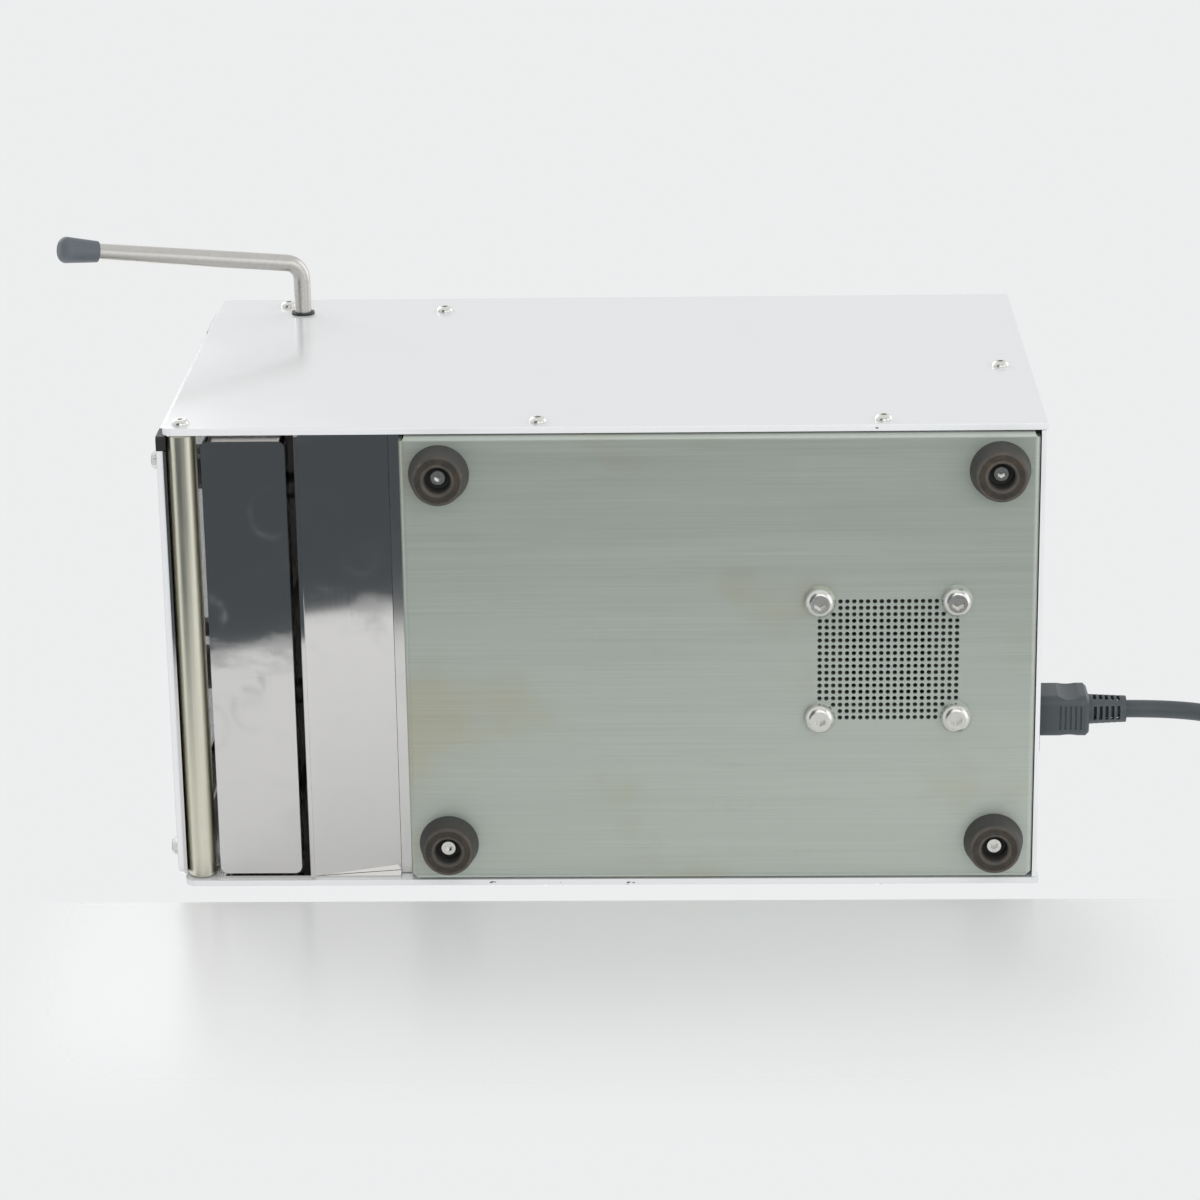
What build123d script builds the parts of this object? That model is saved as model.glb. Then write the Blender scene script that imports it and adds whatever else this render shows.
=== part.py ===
"""Paddle blender homogenizer, in millimetres.

The pieces are drawn on the machine's own datum: X = 0 is its middle plane with +X to the operator's
right, Y = 0 is the front edge of the base plate with +Y to the rear, and Z = 0 is the base plate's
underside. At the end every piece is moved so that the origin is the centre of the machine's box at
bench level.
"""

import math
import os

from build123d import *

# Casing
body_width = 214.1
body_height = 229.6
base_length = 277.4
front_overhang = 102.6
rear_overhang = 3.2
panel_thickness = 3.0
panel_lift = 1.0
panel_corner = 5.0
sheet = 1.5
base_side_gap = 0.6
base_flange = 16.0
base_bend = 2.6
relief_notch = 2.6
sheet_gap = 0.3
rear_sheet = 2.0
side_flange = 20.0

# Feet
foot_height = 10.5
foot_base_diameter = 26.5
foot_end_diameter = 22.6
foot_recess_diameter = 11.4
foot_floor = 1.5
foot_inset = 17.3
foot_rim = 1.6

# Fasteners
m4 = 4.0
m4_clearance = 4.5
m4_button_head = (7.6, 2.3, 2.5)
m4_cap_head = (7.0, 4.0, 3.0)
m4_nut = (7.0, 3.2)
m8 = 8.0
m8_clearance = 8.6
m8_button_head = (14.0, 4.6, 5.0)
m8_length = 12.0
panel_screw_length = 8.0

# Vent grid and the motor mount's screws around it
vent_pitch = 3.0
vent_hole = 2.0
vent_columns = 21
vent_rows = 19
vent_from_rear = 64.9
mount_spacing_x = 54.0
mount_spacing_y = 60.0

# Door
door_sheet = 3.0
door_inner_sheet = 1.25
door_bottom = 4.0
door_top = 184.0
door_side_gap = 1.35
door_corner = 4.0
window_margin_side = 22.0
window_margin_bottom = 30.0
window_margin_top = 24.0
window_rebate = 5.0
pane_thickness = 2.6
hinge_bar_diameter = 12.7
hinge_height = 9.0
hinge_end_gap = 0.6
hinge_bush_length = 12.0
hinge_running = 0.05
bumper_diameter = 8.4
bumper_height = 3.0
bumper_inset = 12.0
handle_length = 90.0
handle_reach = 13.0
corner_block = (6.2, 14.0)

# Chamber
liner = 1.0
back_wall_y = -5.0
back_wall_bottom = 9.0
back_wall_top = 212.0
roof_height = 185.2
roof_sheet = 1.2
splash_gap = 3.9
splash_front_z = 3.4
splash_sheet_thickness = 1.0
splash_hem = 3.0
tray_gap = 2.65
tray_depth = 36.6
tray_bottom = 2.0
tray_wall = 12.0
tray_sheet = 0.8
tray_corner = 3.3
tray_lip = 1.5
tray_end_gap = 2.1

# Paddles and their drive
paddle_width = 92.0
paddle_height = 130.0
paddle_thickness = 14.0
paddle_gap = 9.0
paddle_bottom = 40.0
paddle_front_y = -75.0
paddle_stroke = 20.0
drive_height = 104.0
rod_diameter = 12.0
rod_clearance = 0.05
bush_flange_diameter = 30.0
bush_diameter = 20.0
bush_length = 35.0
bush_flange = 4.0
tongue_thickness = 8.0
tongue_height = 12.0
tongue_bore = 8.2
fork_gap = 0.6
fork_leg = 4.0
fork_eye = 8.0
travel_gap = 0.5
rod_centres = 55.0
strap_wall = 5.0
eccentric_wall = 0.5
shaft_diameter = 15.0
bearing_diameter = 32.0
bearing_width = 9.0
bearing_plate_x = 70.0
bearing_plate_thickness = 4.0
bearing_plate_width = 44.0
running_fit = 0.05

# Motor and belt
motor_from_rear = 64.9
motor_height = 52.0
motor_diameter = 84.0
motor_length = 118.0
motor_shaft_diameter = 12.0
mount_plate = 6.0
mount_window = (40.0, 36.0)
saddle_rise = 18.0
crank_pulley_diameter = 80.0
motor_pulley_diameter = 32.0
pulley_x = 86.0
pulley_width = 12.0
belt_thickness = 2.5
belt_width = 10.0
belt_gap = 0.3

# Lever, its shaft and the latch hooks
lever_y = -60.6
lever_z = 203.0
lever_diameter = 8.0
lever_reach = 24.6
lever_arm = 116.0
lever_drop = 26.3
lever_splay = 9.7
lever_bend = 9.0
cap_length = 18.8
cap_overlap = 13.3
cap_inner_wall = 1.0
cap_outer_wall = 2.2
bush_wall = 1.0
bush_rim_wall = 1.5
bush_rim = 1.0
striker_y = -85.0
striker_z = 178.0
striker_diameter = 6.0
striker_inset = 97.0
hook_inset = 93.0
hook_thickness = 4.0
hook_nose = 3.5
hook_gap = 0.4
latch_travel = 55.0

# Controls
fascia_sheet = 1.2
fascia_bottom = 187.0
fascia_top = 222.0
fascia_depth = 12.0
overlay_sheet = 0.5
overlay_margin = 2.5
control_height = 204.5
display_x = -22.0
display_width = 56.0
display_height = 20.0
knob_places = {"time_knob": -74.0, "speed_knob": 30.0}
button_places = {"start_button": 58.0, "stop_button": 78.0}
knob_diameter = 22.0
knob_length = 14.0
spindle_diameter = 6.0
button_diameter = 11.0
button_travel = 2.5
board_y = -94.4
board_sheet = 1.6

# Power side
inlet_x = -40.1
inlet_z = 45.0
inlet_flange = (30.0, 62.0, 2.5)
socket_size = (17.0, 25.0, 17.0)
plug_gap = 0.5
rocker_rise = 25.0
rocker_size = (12.0, 19.6)
rocker_swing = 14.0
rocker_pin = 3.0
rocker_pin_seat = 1.4
connector_size = (19.0, 24.0, 22.5)
relief_length = 17.0
relief_start = 13.6
relief_end = 12.0

# Mains cord: its route lies in the machine's datum, down to the bench
cord_diameter = 8.0
cord_route = [
    (-40.1, 322.2, 45.0),
    (-40.1, 348.0, 45.0),
    (-41.0, 373.5, 31.6),
    (-41.6, 390.5, 7.8),
    (-41.6, 416.5, -6.5),
    (-41.6, 444.0, -6.5),
]
coil_turns = 6.25
coil_least_radius = 32.3
coil_pitch = 8.6
coil_tail = 34.0
plug_size = (34.0, 26.0, 23.6)
plug_relief = (22.0, 12.0, 9.6)

# Worked out from the sizes above
inner_half = body_width / 2 - panel_thickness
panel_bottom = panel_lift
panel_top = panel_lift + body_height
bench = -foot_height
rear_inner = base_length + sheet_gap
rear_outer = rear_inner + rear_sheet
vent_y = base_length - vent_from_rear
motor_y = base_length - motor_from_rear
door_half = inner_half - door_side_gap
door_back = -front_overhang
door_front = door_back - door_sheet
hinge_y = door_back + door_inner_sheet + hinge_bar_diameter / 2
tray_front_y = hinge_y + hinge_bar_diameter / 2 + tray_gap
splash_front_y = tray_front_y + tray_depth + splash_gap
throw = paddle_stroke / 2
eccentric_diameter = shaft_diameter + paddle_stroke + 2 * eccentric_wall
paddle_x = (paddle_width + paddle_gap) / 2
bush_rear = back_wall_y + bush_length
tongue_front = bush_rear + throw + travel_gap
wrist_y = tongue_front + 2 * throw + fork_eye + travel_gap
crank_y = wrist_y + math.sqrt(rod_centres**2 - throw**2)
strap_width = tongue_thickness + 2 * (fork_gap + fork_leg)
fascia_y = door_front
nodes = {}


def slab(x, y, z):
    """A box from its lowest and highest X, Y and Z."""
    size = (x[1] - x[0], y[1] - y[0], z[1] - z[0])
    return Pos((x[0] + x[1]) / 2, (y[0] + y[1]) / 2, (z[0] + z[1]) / 2) * Box(*size)


def rod_x(diameter, x, y, z):
    """A round bar along X."""
    return Location(((x[0] + x[1]) / 2, y, z), (0, 90, 0)) * Cylinder(diameter / 2, x[1] - x[0])


def rod_y(diameter, x, y, z):
    """A round bar along Y."""
    return Location((x, (y[0] + y[1]) / 2, z), (90, 0, 0)) * Cylinder(diameter / 2, y[1] - y[0])


def rod_z(diameter, x, y, z):
    """A round bar along Z."""
    return Pos(x, y, (z[0] + z[1]) / 2) * Cylinder(diameter / 2, z[1] - z[0])


def both_sides(shape):
    """A piece and its mirror image across the machine's middle plane."""
    return [shape, mirror(shape, about=Plane.YZ)]


def headed_screw(head, shank_diameter, length, domed=True):
    """A screw with a hexagon socket, its head above Z = 0 and its shank below."""
    diameter, height, socket = head
    if domed:
        edge = 0.22 * height
        flat = 0.3 * diameter
        outline = Polyline((flat, height), (0, height), (0, 0), (diameter / 2, 0), (diameter / 2, edge))
        crown = ThreePointArc((diameter / 2, edge), (0.44 * diameter, 0.68 * height), (flat, height))
        face = make_face([*outline.edges(), crown])
        top = revolve(Plane.XZ * face, Axis.Z)
    else:
        top = Pos(0, 0, height / 2) * Cylinder(diameter / 2, height)
        top = chamfer(top.edges().group_by(Axis.Z)[-1], 0.4)
    depth = 0.55 * height
    recess = extrude(Pos(0, 0, height) * RegularPolygon(socket / 2, 6, major_radius=False), -depth)
    shank = Pos(0, 0, -length / 2) * Cylinder(shank_diameter / 2, length)
    return top - recess + shank


def pan(x, y, z, wall, corner):
    """An open-topped tray of sheet with rounded upright corners."""
    outer = slab(x, y, z)
    outer = fillet(outer.edges().filter_by(Axis.Z), corner)
    inner = slab((x[0] + wall, x[1] - wall), (y[0] + wall, y[1] - wall), (z[0] + wall, z[1] + 1))
    inner = fillet(inner.edges().filter_by(Axis.Z), corner - wall)
    return outer - inner


# ---------------------------------------------------------------- casing


def foot_places():
    x = inner_half - base_side_gap - foot_inset
    rows = (foot_inset, base_length - foot_inset)
    return [(side * x, y) for side in (-1, 1) for y in rows]


def mount_places():
    halves = (mount_spacing_x / 2, mount_spacing_y / 2)
    return [(sx * halves[0], vent_y + sy * halves[1]) for sx in (-1, 1) for sy in (-1, 1)]


def vent_places():
    """The grid of holes, drawn in at its corners where the mount's screws stand."""
    places = []
    for row in range(vent_rows):
        from_edge = min(row, vent_rows - 1 - row)
        skipped = {0: 3, 1: 3, 2: 2}.get(from_edge, 0)
        for column in range(skipped, vent_columns - skipped):
            x = (row - (vent_rows - 1) / 2) * vent_pitch
            y = vent_y + (column - (vent_columns - 1) / 2) * vent_pitch
            places.append((x, y))
    return places


def make_base_plate():
    half = inner_half - base_side_gap
    body = slab((-half, half), (0, base_length), (0, base_flange))
    body = fillet(body.edges().group_by(Axis.Z)[0], base_bend)
    hollow = slab((sheet - half, half - sheet), (sheet, base_length - sheet), (sheet, base_flange + 1))
    body -= hollow
    for sx in (-1, 1):
        for y in (0, base_length):
            body -= rod_z(2 * relief_notch, sx * half, y, (-1, base_flange + 1))
    holes = Sketch() + [Pos(x, y) * Circle(vent_hole / 2) for x, y in vent_places()]
    holes += [Pos(x, y) * Circle(m8_clearance / 2) for x, y in mount_places()]
    holes += [Pos(x, y) * Circle(m4_clearance / 2) for x, y in foot_places()]
    body -= extrude(Pos(0, 0, -1) * holes, sheet + 2)
    for x, y, z in panel_screw_places():
        if z < base_flange and y > 0:
            body -= rod_x(m4 + 0.2, (-half - 1, half + 1), y, z)
    return body


def make_foot():
    radius = foot_base_diameter / 2
    outline = Polyline(
        (m4_clearance / 2, 0),
        (radius, 0),
        (foot_end_diameter / 2, bench),
        (foot_recess_diameter / 2, bench),
        (foot_recess_diameter / 2, -foot_floor),
        (m4_clearance / 2, -foot_floor),
        (m4_clearance / 2, 0),
    )
    foot = revolve(Plane.XZ * make_face(outline), Axis.Z)
    rims = foot.edges().filter_by(GeomType.CIRCLE).group_by(Axis.Z)[0]
    return fillet(rims, foot_rim)


def make_foot_fasteners():
    screw = Rot(180, 0, 0) * headed_screw(m4_cap_head, m4, foot_floor + sheet + 5, domed=False)
    width, height = m4_nut
    nut = extrude(Pos(0, 0, sheet) * RegularPolygon(width / 2, 6, major_radius=False), height)
    nut -= rod_z(m4, 0, 0, (0, sheet + height + 1))
    screws = [Pos(x, y, -foot_floor) * screw for x, y in foot_places()]
    return screws + [Pos(x, y, 0) * nut for x, y in foot_places()]


def panel_screw_places():
    """Y and Z of the screws that hold each side panel, seen on the right one."""
    cover_z = panel_top - 13.2
    wall_z = back_wall_top - 6.4
    wall_y = back_wall_y + 12.8
    rear_y = rear_inner - 10.8
    low_z = 8.5
    places = [(60.5, low_z), (210.0, low_z), (rear_y, 96.1), (wall_y, wall_z), (-68.9, cover_z)]
    return [(inner_half, y, z) for y, z in places]


def hinge_screw_place():
    return (inner_half, hinge_y, hinge_height)


def make_side_panel():
    rear = base_length + rear_overhang
    panel = slab((inner_half, inner_half + panel_thickness), (-front_overhang, rear), (panel_bottom, panel_top))
    corner = panel.edges().filter_by(Axis.X).group_by(Axis.Z)[0].sort_by(Axis.Y)[0]
    panel = fillet(corner, panel_corner)
    for x, y, z in [*panel_screw_places(), hinge_screw_place()]:
        panel -= rod_x(m4_clearance, (x - 1, x + panel_thickness + 1), y, z)
    bush_x = (inner_half - 1, inner_half + panel_thickness + 1)
    panel -= rod_x(lever_diameter + 2 * bush_wall, bush_x, lever_y, lever_z)
    outer = panel.faces().sort_by(Axis.X)[-1]
    return fillet(outer.outer_wire().edges(), 0.6)


def make_panel_screws():
    short = headed_screw(m4_button_head, m4, panel_screw_length)
    long = headed_screw(m4_button_head, m4, panel_thickness + hinge_end_gap + hinge_bush_length)
    screws = []
    for place, screw in [*((p, short) for p in panel_screw_places()), (hinge_screw_place(), long)]:
        x, y, z = place
        screws += both_sides(Location((x + panel_thickness, y, z), (0, 90, 0)) * screw)
    return screws


def make_top_cover():
    half = inner_half - sheet_gap
    front = -front_overhang + 0.2
    cover = slab((-half, half), (front, rear_outer), (panel_top - sheet, panel_top))
    for side in (-1, 1):
        x = sorted((side * half, side * (half - sheet)))
        cover += slab(x, (front + 3, rear_inner - side_flange - 3), (panel_top - 17, panel_top - sheet))
    cover += slab((-half, half), (front, front + sheet), (fascia_top - 6, panel_top - sheet))
    for x, y, z in panel_screw_places():
        if z > back_wall_top:
            cover -= rod_x(m4 + 0.2, (-half - 1, half + 1), y, z)
    return cover


def make_rear_panel():
    half = inner_half - sheet_gap
    top = panel_top - sheet - sheet_gap
    panel = slab((-half, half), (rear_inner, rear_outer), (panel_bottom, top))
    for side in (-1, 1):
        x = sorted((side * half, side * (half - sheet)))
        panel += slab(x, (rear_inner - side_flange, rear_inner), (base_flange + 4, top - 18))
    for x, y, z in panel_screw_places():
        if y > rear_inner - side_flange:
            panel -= rod_x(m4 + 0.2, (-half - 1, half + 1), y, z)
    width, height, _ = inlet_flange
    low = inlet_z - height / 2 + rocker_rise / 2
    window = ((inlet_x - width / 2 + 2, inlet_x + width / 2 - 2), (low + 2, low + height - 2))
    panel -= slab(window[0], (rear_inner - 1, rear_outer + 1), window[1])
    slots = Sketch() + [Pos(0, 9.0 * i) * SlotOverall(60, 4) for i in range(9)]
    cut = extrude(Plane(origin=(48, rear_outer + 1, 96), x_dir=(1, 0, 0), z_dir=(0, -1, 0)) * slots, 5)
    return panel - cut


# ---------------------------------------------------------------- chamber


def make_back_wall():
    half = inner_half - 0.45
    rear = back_wall_y + sheet
    wall = slab((-half, half), (back_wall_y, rear), (back_wall_bottom, back_wall_top))
    wall += slab((-half, half), (rear, -sheet_gap), (back_wall_bottom, back_wall_bottom + sheet))
    for side in (-1, 1):
        x = sorted((side * half, side * (half - sheet)))
        wall += slab(x, (rear, rear + side_flange), (base_flange + 1, back_wall_top))
        wall -= rod_y(bush_diameter, side * paddle_x, (back_wall_y - 1, rear + 1), drive_height)
    for x, y, z in panel_screw_places():
        if back_wall_y < y < side_flange and z > base_flange:
            wall -= rod_x(m4 + 0.2, (-half - 1, half + 1), y, z)
    return wall


def make_liner():
    low = hinge_height + hinge_bar_diameter / 2 + 1.6
    notch_rear = hinge_y + hinge_bar_diameter / 2 + 1.6
    x = (inner_half - liner, inner_half)
    plate = slab(x, (door_back + door_inner_sheet + 0.5, back_wall_y - sheet_gap), (4, roof_height + roof_sheet))
    plate -= slab((x[0] - 1, x[1] + 1), (-front_overhang, notch_rear), (0, low))
    ledge_z = tray_bottom + tray_wall - tray_sheet - sheet_gap
    ledge_y = (tray_front_y + 2, tray_front_y + tray_depth - 2)
    return plate + slab((x[0] - tray_lip, x[0]), ledge_y, (ledge_z - 1.2, ledge_z))


def make_roof():
    half = inner_half - liner - 0.15
    front = door_back + door_inner_sheet + 2.3
    roof = slab((-half, half), (front, back_wall_y - sheet_gap), (roof_height, roof_height + roof_sheet))
    for side in (-1, 1):
        x = sorted((side * (hook_inset - hook_thickness), side * (half + 1)))
        roof -= slab(x, (front - 1, lever_y - 13), (roof_height - 1, roof_height + roof_sheet + 1))
    return roof


def make_splash_sheet():
    """A sheet that slopes down to the front, with its front edge folded under."""
    half = inner_half - liner - 0.15
    rear_y = back_wall_y - sheet_gap
    rear_z = back_wall_bottom + 1.6
    t = splash_sheet_thickness
    outline = Polyline(
        (splash_front_y, splash_front_z - splash_hem + 1.2),
        (splash_front_y + 1.7, splash_front_z - splash_hem + 1.2),
        (splash_front_y + 1.7, splash_front_z + 0.3),
        (rear_y, rear_z),
        (rear_y, rear_z + t),
        (splash_front_y + 0.6, splash_front_z + t),
        (splash_front_y, splash_front_z + t - 0.6),
        (splash_front_y, splash_front_z - splash_hem + 1.2),
    )
    return extrude(Plane.YZ * make_face(outline), half, both=True)


def make_drip_tray():
    half = inner_half - liner - tray_end_gap
    y = (tray_front_y, tray_front_y + tray_depth)
    top = tray_bottom + tray_wall
    tray = pan((-half, half), y, (tray_bottom, top), tray_sheet, tray_corner)
    for side in (-1, 1):
        x = sorted((side * (half - 0.1), side * (half + tray_lip)))
        tray += slab(x, (y[0] + 4, y[1] - 4), (top - tray_sheet, top))
    return tray


# ---------------------------------------------------------------- door


def window_box(grow):
    x = door_half - window_margin_side + grow
    return (-x, x), (door_bottom + window_margin_bottom - grow, door_top - window_margin_top + grow)


def make_door_panel():
    panel = slab((-door_half, door_half), (door_front, door_back), (door_bottom, door_top))
    panel = fillet(panel.edges().filter_by(Axis.Y), door_corner)
    panel = fillet(panel.faces().sort_by(Axis.Y)[0].outer_wire().edges(), 0.8)
    x, z = window_box(0)
    opening = fillet(slab(x, (door_front - 1, door_back + 1), z).edges().filter_by(Axis.Y), 6)
    x, z = window_box(window_rebate)
    rebate = slab(x, (door_back - pane_thickness - 0.1, door_back + 1), z)
    return panel - opening - rebate - corner_box(0.2)


def make_door_window():
    x, z = window_box(window_rebate - 1.2)
    return slab(x, (door_back - pane_thickness, door_back - 0.05), z)


def make_door_gasket():
    """A black strip that fills the rebate around the pane."""
    outer_x, outer_z = window_box(window_rebate)
    inner_x, inner_z = window_box(window_rebate - 1.15)
    y = (door_back - pane_thickness, door_back - 0.05)
    return slab(outer_x, y, outer_z) - slab(inner_x, (y[0] - 1, y[1] + 1), inner_z)


def make_door_inner_plate():
    half = door_half - 1.2
    y = (door_back, door_back + door_inner_sheet)
    plate = slab((-half, half), y, (door_bottom - 0.6, door_top - 0.5))
    x, z = window_box(-3)
    plate -= fillet(slab(x, (y[0] - 1, y[1] + 1), z).edges().filter_by(Axis.Y), 6)
    plate -= corner_box(0.2)
    tab = slab((striker_inset, striker_inset + 3), (y[1], striker_y + 4), (striker_z - 8, striker_z + 5))
    pin = rod_x(striker_diameter, (hook_inset - 3, striker_inset), striker_y, striker_z)
    for piece in both_sides(tab + pin):
        plate += piece
    return plate


def make_hinge_bar():
    half = inner_half - hinge_end_gap
    bar = rod_x(hinge_bar_diameter, (-half, half), hinge_y, hinge_height)
    bar = chamfer(bar.edges(), 0.8)
    for side in (-1, 1):
        x = sorted((side * (half - hinge_bush_length - 2), side * (half + 1)))
        bar -= rod_x(m4 + 4, x, hinge_y, hinge_height)
    return bar


def make_hinge_bushes():
    half = inner_half - hinge_end_gap
    x = (half - hinge_bush_length, half)
    bush = rod_x(m4 + 4, x, hinge_y, hinge_height)
    bush -= rod_x(m4 + 2 * hinge_running, (x[0] - 1, x[1] + 1), hinge_y, hinge_height)
    return both_sides(bush)


def make_door_bumpers():
    """Clear buttons with a domed front, near the door's lower corners."""
    place = Location((door_half - bumper_inset, door_front, door_bottom + 6.5), (90, 0, 0))
    body = Cylinder(bumper_diameter / 2, bumper_height, align=(Align.CENTER, Align.CENTER, Align.MIN))
    body = fillet(body.edges().group_by(Axis.Z)[-1], 2.2)
    return both_sides(place * body)


def corner_box(grow):
    """The notch at the door's lower right corner."""
    width, height = corner_block
    x = (door_half - width - grow, door_half + grow)
    y = (door_front - grow, door_back + door_inner_sheet + grow)
    return slab(x, y, (door_bottom - 5 * grow, door_bottom + height + grow))


def make_corner_block():
    """A black block let into the door's lower right corner."""
    block = corner_box(0)
    lower = block.edges().filter_by(Axis.Y).group_by(Axis.Z)[0].sort_by(Axis.X)[-1]
    return chamfer(lower, 1.0)


def make_door_handle():
    """A pull strip across the top of the door, open behind for the fingers."""
    half = handle_length / 2
    z = (door_top - 17, door_top - 9)
    bar = slab((-half, half), (door_front - handle_reach, door_front - handle_reach + 4), z)
    for side in (-1, 1):
        x = sorted((side * half, side * (half - 7)))
        bar += slab(x, (door_front - handle_reach + 2, door_front), z)
    front = bar.edges().filter_by(Axis.X).group_by(Axis.Y)[0]
    return fillet(front, 1.5)


# ---------------------------------------------------------------- lever and latch


def lever_direction():
    drop, splay = math.radians(lever_drop), math.radians(lever_splay)
    return Vector(
        math.sin(splay),
        -math.cos(splay) * math.cos(drop),
        -math.cos(splay) * math.sin(drop),
    )


def lever_corner():
    return Vector(body_width / 2 + lever_reach, lever_y, lever_z)


def make_lever_rod():
    """One bent bar: a shaft across the machine, and an arm outside the right panel."""
    start = Vector(1 - inner_half - panel_thickness, lever_y, lever_z)
    end = lever_corner() + lever_direction() * lever_arm
    path = FilletPolyline(start, lever_corner(), end, radius=lever_bend)
    return sweep(Plane(origin=start, z_dir=(1, 0, 0)) * Circle(lever_diameter / 2), path)


def make_lever_cap():
    inner = lever_diameter / 2 + cap_inner_wall
    outer = lever_diameter / 2 + cap_outer_wall
    outline = [
        Line((0, cap_length), (0, cap_overlap)),
        Line((0, cap_overlap), (lever_diameter / 2, cap_overlap)),
        Line((lever_diameter / 2, cap_overlap), (lever_diameter / 2, 0)),
        Line((lever_diameter / 2, 0), (inner, 0)),
        Line((inner, 0), (outer, cap_length - 3.5)),
        ThreePointArc((outer, cap_length - 3.5), (outer - 1.3, cap_length - 0.9), (2.4, cap_length)),
        Line((2.4, cap_length), (0, cap_length)),
    ]
    cap = revolve(Plane.XZ * make_face(outline), Axis.Z)
    seat = lever_corner() + lever_direction() * (lever_arm - cap_overlap)
    return Plane(origin=seat, z_dir=lever_direction()) * cap


def make_lever_bushes():
    """Flanged plastic bushes in both side panels."""
    inner = inner_half
    x = (inner, inner + panel_thickness)
    rim = lever_diameter + 2 * bush_rim_wall
    bush = rod_x(lever_diameter + 2 * bush_wall, x, lever_y, lever_z)
    bush += rod_x(rim, (x[1], x[1] + bush_rim), lever_y, lever_z)
    bush += rod_x(rim + 3, (inner - 2, inner), lever_y, lever_z)
    bush -= rod_x(lever_diameter + 2 * rod_clearance, (inner - 3, x[1] + 2), lever_y, lever_z)
    return both_sides(bush)


def make_latch_hooks():
    """Plates on the lever's shaft. Their noses swing in front of the door's striker pins."""
    reach_y = striker_y - lever_y
    reach_z = striker_z - lever_z
    radius = math.hypot(reach_y, reach_z)
    towards = math.degrees(math.atan2(reach_z, reach_y))
    inner = radius + striker_diameter / 2 + hook_gap
    outer = inner + hook_nose

    def sector(low, high, near, far):
        points = []
        for r, a, b in ((near, low, high), (far, high, low)):
            for angle in (a, (a + b) / 2, b):
                turn = math.radians(towards + angle - latch_travel)
                points.append((r * math.cos(turn), r * math.sin(turn)))
        sides = [Line(points[2], points[3]), Line(points[5], points[0])]
        arcs = [ThreePointArc(*points[:3]), ThreePointArc(*points[3:])]
        return make_face([arcs[0], sides[0], arcs[1], sides[1]])

    outline = Circle(9) + sector(-24, -8, 7, outer) + sector(-12, 8, inner, outer)
    outline -= Circle(lever_diameter / 2)
    plane = Plane(origin=(hook_inset - hook_thickness / 2, lever_y, lever_z), x_dir=(0, 1, 0), z_dir=(1, 0, 0))
    return both_sides(extrude(plane * outline, hook_thickness))


# ---------------------------------------------------------------- paddles and drive


def make_paddle():
    x = (paddle_gap / 2, paddle_gap / 2 + paddle_width)
    y = (paddle_front_y, paddle_front_y + paddle_thickness)
    paddle = slab(x, y, (paddle_bottom, paddle_bottom + paddle_height))
    paddle = fillet(paddle.edges().filter_by(Axis.Y), 8)
    return fillet(paddle.faces().sort_by(Axis.Y)[0].outer_wire().edges(), 4)


def make_push_rod():
    front = paddle_front_y + paddle_thickness
    rod = rod_y(rod_diameter, paddle_x, (front, tongue_front), drive_height)
    x = (paddle_x - tongue_thickness / 2, paddle_x + tongue_thickness / 2)
    half = tongue_height / 2 - 0.3
    tongue = slab(x, (tongue_front, wrist_y), (drive_height - half, drive_height + half))
    tongue += rod_x(2 * half, x, wrist_y, drive_height)
    return rod + tongue - rod_x(tongue_bore, (x[0] - 1, x[1] + 1), wrist_y, drive_height)


def make_guide_bushes():
    bush = rod_y(bush_diameter, paddle_x, (back_wall_y, bush_rear), drive_height)
    bush += rod_y(bush_flange_diameter, paddle_x, (back_wall_y - bush_flange, back_wall_y), drive_height)
    bore = rod_diameter + 2 * rod_clearance
    bush -= rod_y(bore, paddle_x, (back_wall_y - bush_flange - 1, bush_rear + 1), drive_height)
    return both_sides(bush)


def crank_pin_z(side):
    """The right eccentric stands above the shaft and the left one below it."""
    return drive_height + side * throw


def make_crankshaft():
    half = bearing_plate_x + bearing_plate_thickness / 2 + bearing_width / 2
    shaft = rod_x(shaft_diameter, (-half, pulley_x + pulley_width), crank_y, drive_height)
    for side in (-1, 1):
        x = (side * paddle_x - strap_width / 2 - 0.3, side * paddle_x + strap_width / 2 + 0.3)
        shaft += rod_x(eccentric_diameter, x, crank_y, crank_pin_z(side))
    return shaft


def make_connecting_rod(side):
    """A strap around the eccentric, with two legs that stand either side of the push rod's tongue."""
    middle = side * paddle_x
    x = (middle - strap_width / 2, middle + strap_width / 2)
    pin = (crank_y, crank_pin_z(side))
    outer = eccentric_diameter + 2 * strap_wall
    rise = pin[1] - drive_height
    run = pin[0] - wrist_y
    slope = math.degrees(math.atan2(rise, run))
    reach = math.hypot(rise, run)
    blank = rod_x(outer, x, 0, 0)
    blank += slab(x, (-reach, 0), (-fork_eye, fork_eye)) + rod_x(2 * fork_eye, x, -reach, 0)
    gap = (middle - tongue_thickness / 2 - fork_gap, middle + tongue_thickness / 2 + fork_gap)
    blank -= slab(gap, (-reach - fork_eye - 1, -outer / 2 - 0.5), (-outer, outer))
    blank -= rod_x(eccentric_diameter + 2 * running_fit, (x[0] - 1, x[1] + 1), 0, 0)
    return Location((0, pin[0], pin[1]), (slope, 0, 0)) * blank


def make_bearing_plates():
    x = (bearing_plate_x - bearing_plate_thickness / 2, bearing_plate_x + bearing_plate_thickness / 2)
    y = (crank_y - bearing_plate_width / 2, crank_y + bearing_plate_width / 2)
    plate = slab(x, y, (sheet, drive_height + 26))
    plate += slab((x[0], x[1] + 16), y, (sheet, sheet + 4))
    plate -= rod_x(bearing_diameter, (x[0] - 1, x[1] + 1), crank_y, drive_height)
    return both_sides(plate)


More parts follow.
